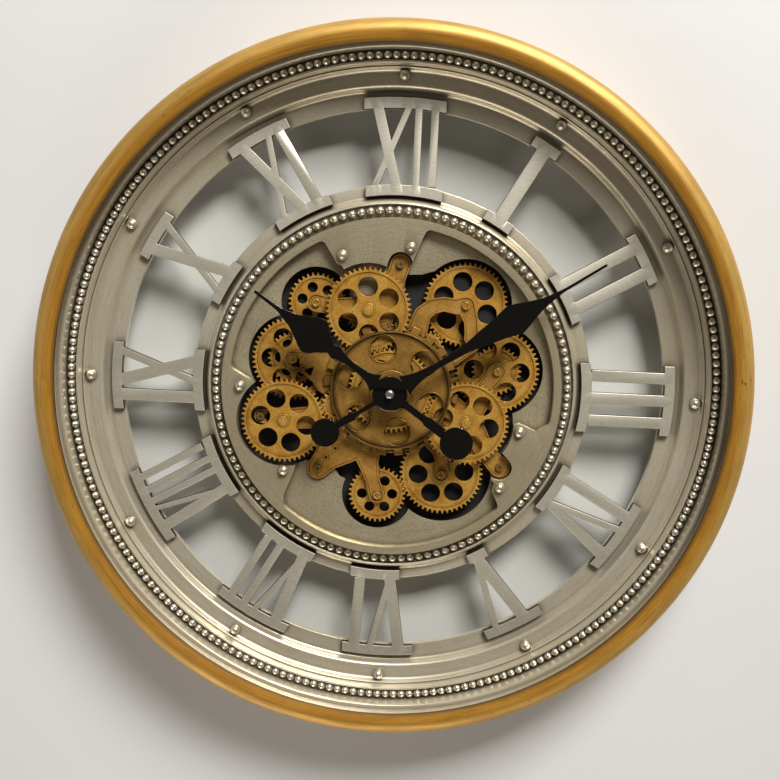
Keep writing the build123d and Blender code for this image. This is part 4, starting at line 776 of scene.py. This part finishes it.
CENTRE = (0, 0)
TOP = polar(mesh_distance(50, 50), TOP_AT)
LOWER_RIGHT = polar(mesh_distance(50, 50), LOWER_RIGHT_AT)
LEFT_IDLER = polar(mesh_distance(50, 18), LEFT_AT)
LEFT = polar(mesh_distance(18, 50), LEFT_AT, LEFT_IDLER)
UPPER_IDLER = polar(mesh_distance(50, 18), UPPER_RIGHT_AT)
UPPER_RIGHT = polar(mesh_distance(18, 50), UPPER_RIGHT_AT, UPPER_IDLER)
UPPER_LEFT_IDLER = polar(mesh_distance(50, 21), UPPER_LEFT_AT)
UPPER_LEFT = polar(mesh_distance(21, 32), UPPER_LEFT_AT, UPPER_LEFT_IDLER)
TOP_LEFT = polar(mesh_distance(30, 34), TOP_LEFT_AT, TOP)
RIGHT = polar(mesh_distance(22, 50), RIGHT_AT, LOWER_RIGHT)
BOTTOM_RIGHT = polar(mesh_distance(22, 50), BOTTOM_RIGHT_AT, LOWER_RIGHT)
BOTTOM = polar(mesh_distance(50, 34), BOTTOM_AT, BOTTOM_RIGHT)

# a phase is where a wheel has a tooth, in degrees; each of these follows from the wheel it meshes with
PHASE_TOP = phase_of_mate(50, 0, TOP_AT, 50)
PHASE_TOP_LEFT = phase_of_mate(30, 0, TOP_LEFT_AT, 34)
PHASE_LOWER_RIGHT = phase_of_mate(50, 0, LOWER_RIGHT_AT, 50)
PHASE_RIGHT = phase_of_mate(22, 0, RIGHT_AT, 50)
PHASE_BOTTOM_RIGHT = phase_of_mate(22, 0, BOTTOM_RIGHT_AT, 50)
PHASE_BOTTOM = phase_of_mate(50, PHASE_BOTTOM_RIGHT, BOTTOM_AT, 34)
PHASE_LEFT_IDLER = phase_of_mate(50, 0, LEFT_AT, 18)
PHASE_LEFT = phase_of_mate(18, PHASE_LEFT_IDLER, LEFT_AT, 50)
PHASE_UPPER_IDLER = phase_of_mate(50, 0, UPPER_RIGHT_AT, 18)
PHASE_UPPER_RIGHT = phase_of_mate(18, PHASE_UPPER_IDLER, UPPER_RIGHT_AT, 50)
PHASE_UPPER_LEFT_IDLER = phase_of_mate(50, 0, UPPER_LEFT_AT, 21)
PHASE_UPPER_LEFT = phase_of_mate(21, PHASE_UPPER_LEFT_IDLER, UPPER_LEFT_AT, 32)


def arbor(centre, end):
    """An arbor from its thin end in the tray to its front end."""
    return [shaft(centre, 1.5, *PIVOT), shaft(centre, 3.0, *SPACER), shaft(centre, 1.8, 36, end)]


def stud(centre):
    """A thin arbor without a thick middle."""
    return [shaft(centre, 1.5, *PIVOT), shaft(centre, 1.8, PIVOT[1], 44)]


def behind_bridge(centre):
    """The arbor of a wheel behind the bridge, with its slotted head in front of the arm."""
    return arbor(centre, 40.6) + slotted_head(centre, 3.4, 40.4, 41.8)


def between_wheels(centre):
    """The disc that keeps two wheels of one body apart."""
    return [shaft(centre, 9, REAR[1], MIDDLE[0], 0.1)]


def front_boss(centre):
    """The boss on a front wheel, with the arbor's end showing in it."""
    top = FRONT[1] + 1.2
    return [shaft(centre, 4.3, FRONT[1] - 1, top, 0.4), shaft(centre, 1.9, FRONT[1], top + 0.25)]


def show(node, parts, material=GEAR_GOLD):
    piece = add_object(node + "_detail", joined(node + "_detail", parts), node, material, smooth=35)
    flat_faces(piece)
    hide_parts(node)


show("centre_arbor", wheel(CENTRE, 50, 0, REAR, 30) + [
    prism("tube", [circle(TUBE_R, points=64), circle(TUBE_BORE_R)], 27.2, 51.2, 0.3)])
show("centre_gear", wheel(CENTRE, 50, 0, FRONT, 0, hub=11) + [
    prism("collar", [circle(10.5), circle(TUBE_R)], 47, 48.2, 0.2)])
show("top_gear", wheel(TOP, 50, PHASE_TOP, FRONT, 33) + front_boss(TOP))
show("top_arbor", wheel(TOP, 30, 0, REAR) + arbor(TOP, 47.4))
show("top_left_gear", wheel(TOP_LEFT, 34, PHASE_TOP_LEFT, REAR, 50) + behind_bridge(TOP_LEFT))
show("lower_right_gear", wheel(LOWER_RIGHT, 50, PHASE_LOWER_RIGHT, FRONT, -11) + front_boss(LOWER_RIGHT))
show("lower_right_arbor", wheel(LOWER_RIGHT, 22, 0, MIDDLE) + arbor(LOWER_RIGHT, 47.4))
show("right_gear", wheel(RIGHT, 50, PHASE_RIGHT, MIDDLE, -2) + wheel(RIGHT, 29, 0, REAR)
     + behind_bridge(RIGHT) + between_wheels(RIGHT))
show("bottom_right_gear", wheel(BOTTOM_RIGHT, 50, PHASE_BOTTOM_RIGHT, MIDDLE, 6)
     + behind_bridge(BOTTOM_RIGHT))
show("bottom_gear", wheel(BOTTOM, 34, PHASE_BOTTOM, MIDDLE, 1.5) + behind_bridge(BOTTOM))
show("left_idler", wheel(LEFT_IDLER, 18, PHASE_LEFT_IDLER, FRONT) + stud(LEFT_IDLER))
show("left_gear", wheel(LEFT, 50, PHASE_LEFT, FRONT, -10) + front_boss(LEFT) + stud(LEFT))
show("upper_right_idler", wheel(UPPER_IDLER, 18, PHASE_UPPER_IDLER, REAR) + arbor(UPPER_IDLER, 39.8))
show("upper_right_gear", wheel(UPPER_RIGHT, 50, PHASE_UPPER_RIGHT, REAR, -20) + behind_bridge(UPPER_RIGHT))
idler = [gear_outline(21, PHASE_UPPER_LEFT_IDLER, UPPER_LEFT_IDLER), circle(2.25, UPPER_LEFT_IDLER, 32)]
show("upper_left_idler", [prism("idler", idler, *REAR, 0.22)])
show("upper_left_gear", wheel(UPPER_LEFT, 50, 0, MIDDLE) + behind_bridge(UPPER_LEFT)
     + between_wheels(UPPER_LEFT) + wheel(UPPER_LEFT, 32, PHASE_UPPER_LEFT, REAR, hub=3.4))

hole_places = [polar(DISC_HOLE_CIRCLE_R, -18 + 60 * i) for i in range(6)]
holes = [circle(DISC_HOLE_R, at, 64) for at in hole_places]
lips = [circle(DISC_LIP_R, at, 64) for at in hole_places]
hole_lips = [prism("lip", [lip, hole], 49.4, 50.75, 0.25) for lip, hole in zip(lips, holes)]
show("centre_disc", [
    prism("plate", [circle(51.0, points=160)] + holes + [circle(TUBE_R)], 48.2, 50.2, 0.3),
    prism("lip", [circle(DISC_R, points=160), circle(49.6, points=160)], 48.4, 51.2, 0.35),
    prism("boss", [circle(18.0, points=96), circle(TUBE_R)], 49.8, 51.2, 0.35),
] + hole_lips, DISC_GOLD)


def castle_outline():
    """A round plate with 24 square notches."""
    outer_r, foot_r, half_width = 58, 52.5, 3.3
    points = []
    notch = math.degrees(half_width / outer_r)
    foot = math.degrees(half_width / foot_r)
    for i in range(24):
        middle = 92 + 15 * i
        points += [polar(outer_r, middle - notch), polar(foot_r, middle - foot)]
        points += [polar(foot_r, middle + foot), polar(outer_r, middle + notch)]
        points += [polar(outer_r, middle + notch + (15 - 2 * notch) * k / 5) for k in range(1, 5)]
    return points


castle = [castle_outline(), circle(2.3, LEFT_IDLER, 32), circle(7.5)]
show("castle_ring", [prism("ring", castle, *CASTLE, 0.3)], DISC_GOLD)


# ---------------------------------------------------------------- hands
def smooth_line(stations, step=0.75):
    """Half widths along a hand through the stations, by a monotone cubic between them."""
    xs = [s[0] for s in stations]
    ys = [s[1] for s in stations]
    slopes = [(ys[i + 1] - ys[i]) / (xs[i + 1] - xs[i]) for i in range(len(xs) - 1)]
    tangents = [slopes[0]]
    for a, b in zip(slopes, slopes[1:]):
        tangents.append(0.0 if a * b <= 0 else 2 * a * b / (a + b))
    tangents.append(slopes[-1])
    out = []
    for i in range(len(xs) - 1):
        span = xs[i + 1] - xs[i]
        count = max(1, int(span / step))
        for k in range(count):
            t = k / count
            out.append((xs[i] + t * span,
                        (2 * t**3 - 3 * t**2 + 1) * ys[i] + (t**3 - 2 * t**2 + t) * span * tangents[i]
                        + (-2 * t**3 + 3 * t**2) * ys[i + 1] + (t**3 - t**2) * span * tangents[i + 1]))
    out.append(stations[-1])
    return out


def half_circle(centre, radius):
    """Half-width stations of a round stretch."""
    turns = [math.pi * k / 48 for k in range(49)]
    return [(centre - radius * math.cos(turn), radius * math.sin(turn)) for turn in turns]


def hand(node, angle, level, stretches, disc_at, disc_r, bore):
    """A flat hand from half-width stations; the hub and the tail disc widen it where they are wider."""
    line = []
    for stretch in stretches:
        line += smooth_line(stretch)
    line += half_circle(0, HUB_R) + half_circle(disc_at, disc_r)
    table = {}
    for along, half in sorted(line):
        best = half
        if abs(along) < HUB_R:
            best = max(best, math.sqrt(HUB_R**2 - along**2))
        if abs(along - disc_at) < disc_r:
            best = max(best, math.sqrt(disc_r**2 - (along - disc_at) ** 2))
        table[round(along, 3)] = max(best, table.get(round(along, 3), 0.0), 0.02)
    points = sorted(table.items())
    aim = math.radians(90 - angle)
    cos, sin = math.cos(aim), math.sin(aim)

    def at(along, across):
        return (along * cos - across * sin, along * sin + across * cos)

    outline = [at(a, h) for a, h in points] + [at(a, -h) for a, h in reversed(points)]
    mesh = prism(node + "_detail", [outline, circle(bore, points=40)], *level, bevel=0.3)
    piece = add_object(node + "_detail", mesh, node, LACQUER, smooth=35)
    flat_faces(piece)
    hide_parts(node)


hand("minute_hand", 56.3, MINUTE_HAND, [
    [(-56, 4.0), (-52, 3.0), (-42, 3.3), (-36, 3.9), (-34, 1.7), (-17, 2.0), (-13, 4.0), (-9, 10.5)],
    [(10, 12.0), (16, 8.3), (22, 6.0), (28, 4.6), (35, 3.6), (48, 2.6), (62, 3.2), (75, 3.9), (89, 6.6),
     (102, 8.7), (121, 13.1)],
    [(121, 13.1), (131, 9.7), (137, 7.3), (145, 4.8), (153, 3.0), (161, 1.9), (170, 1.2), (206.5, 1.0)],
], disc_at=-63.9, disc_r=12.1, bore=2.0)
hand("hour_hand", 304.7, HOUR_HAND, [
    [(-58, 4.6), (-52, 4.3), (-40, 4.3), (-35, 2.9), (-18, 3.0), (-14, 4.6), (-9, 10.5)],
    [(10, 12.6), (14, 9.5), (19, 6.0), (25, 3.9), (32, 3.0), (41, 2.6), (49, 3.7), (57, 6.2)],
    [(57, 6.2), (61.7, 4.7), (67, 8.0), (71, 11.0), (75, 14.8), (79, 16.5), (84, 15.4), (89, 12.5),
     (95, 9.5), (101, 6.1), (108, 4.2), (118, 1.7), (141, 1.3)],
], disc_at=-70.3, disc_r=14.0, bore=3.0)

# ---------------------------------------------------------------- the rest keeps its CAD shape, softened
PLAIN = [
    ("gear_tray", CHAMBER, 0.4), ("case_screws", SCREWS, 0.25), ("bush_nuts", STEEL, 0.3),
    ("hanger_plate", STEEL, 0.25), ("back_ring", BACK_PAINT, 0.4), ("gear_motor", MOTOR_STEEL, 0.5),
    ("movement_case", BLACK_PLASTIC, 0.5), ("movement_lid", BLACK_PLASTIC, 0.35),
    ("drive_battery_box", BLACK_PLASTIC, 0.35), ("drive_battery_door", BLACK_PLASTIC, 0.25),
    ("drive_switch", WHITE_PLASTIC, 0.25), ("aa_cells", CELL, 0.6), ("circuit_board", BOARD, 0.15),
    ("motor_pinion", WHITE_PLASTIC, 0.15), ("minute_wheel", WHITE_PLASTIC, 0.12),
    ("hour_wheel", WHITE_PLASTIC, 0.12), ("minute_shaft", STEEL, 0.12),
    ("setting_knob", WHITE_PLASTIC, 0.3), ("hand_nut", STEEL, 0.1),
]
for node, material, width in PLAIN:
    flat_faces(softened(node, material, width=width))

# ---------------------------------------------------------------- wall, lights and camera
WALL, WALL_Y = 2.6, 0.0004
corners = [(-WALL, WALL_Y, -WALL), (WALL, WALL_Y, -WALL), (WALL, WALL_Y, WALL), (-WALL, WALL_Y, WALL)]
wall_mesh = mesh_of("wall", corners, [(0, 1, 2, 3)])
wall = bpy.data.objects.new("wall", wall_mesh)
wall_mesh.materials.append(wall_material())
wall.visible_shadow = False
bpy.context.scene.collection.objects.link(wall)


def area_light(name, at, size, watts, colour=(1, 1, 1)):
    """A rectangular lamp aimed at the origin."""
    lamp = bpy.data.lights.new(name, "AREA")
    lamp.shape = "RECTANGLE"
    lamp.size, lamp.size_y = size
    lamp.energy = watts
    lamp.color = colour
    holder = bpy.data.objects.new(name, lamp)
    holder.location = at
    holder.rotation_euler = (-Vector(at)).to_track_quat("-Z", "Y").to_euler()
    bpy.context.scene.collection.objects.link(holder)


area_light("key_above", (0.85, -1.95, 2.3), (1.3, 1.0), 150, (1.0, 0.98, 0.95))
area_light("low_front", (-0.5, -1.1, -2.3), (2.6, 0.9), 32, (1.0, 0.93, 0.84))
area_light("fill_left", (-2.3, -1.5, 0.3), (1.2, 1.8), 3, (0.97, 0.98, 1.0))
area_light("back_soft", (0.6, 1.8, 0.9), (1.6, 1.6), 13)

world = bpy.data.worlds.new("room")
bpy.context.scene.world = world
world.use_nodes = True
world.node_tree.nodes["Background"].inputs["Color"].default_value = rgb(0.90, 0.79, 0.64)
world.node_tree.nodes["Background"].inputs["Strength"].default_value = 0.07

# place, aim, lens and roll follow from the perspective of the twelve rivets
CAMERA_AT = (0.01844, -0.8236, 0.11307)
CAMERA_AIM = (-0.02406, 0.98935, -0.14358)
CAMERA_LENS = 42.25
CAMERA_ROLL = math.radians(2.574)
camera_data = bpy.data.cameras.new("camera")
camera_data.sensor_width = 36
camera_data.lens = CAMERA_LENS
camera = bpy.data.objects.new("camera", camera_data)
bpy.context.scene.collection.objects.link(camera)
bpy.context.scene.camera = camera
camera.location = CAMERA_AT
forward = Vector(CAMERA_AIM).normalized()
level_right = forward.cross(Vector((0, 0, 1))).normalized()
level_up = level_right.cross(forward)
right = level_right * math.cos(CAMERA_ROLL) + level_up * math.sin(CAMERA_ROLL)
up = right.cross(forward)
camera.rotation_mode = "QUATERNION"
camera.rotation_quaternion = Matrix((right, up, -forward)).transposed().to_quaternion()
camera_data.clip_start = 0.02
bpy.context.scene.view_settings.view_transform = "Standard"
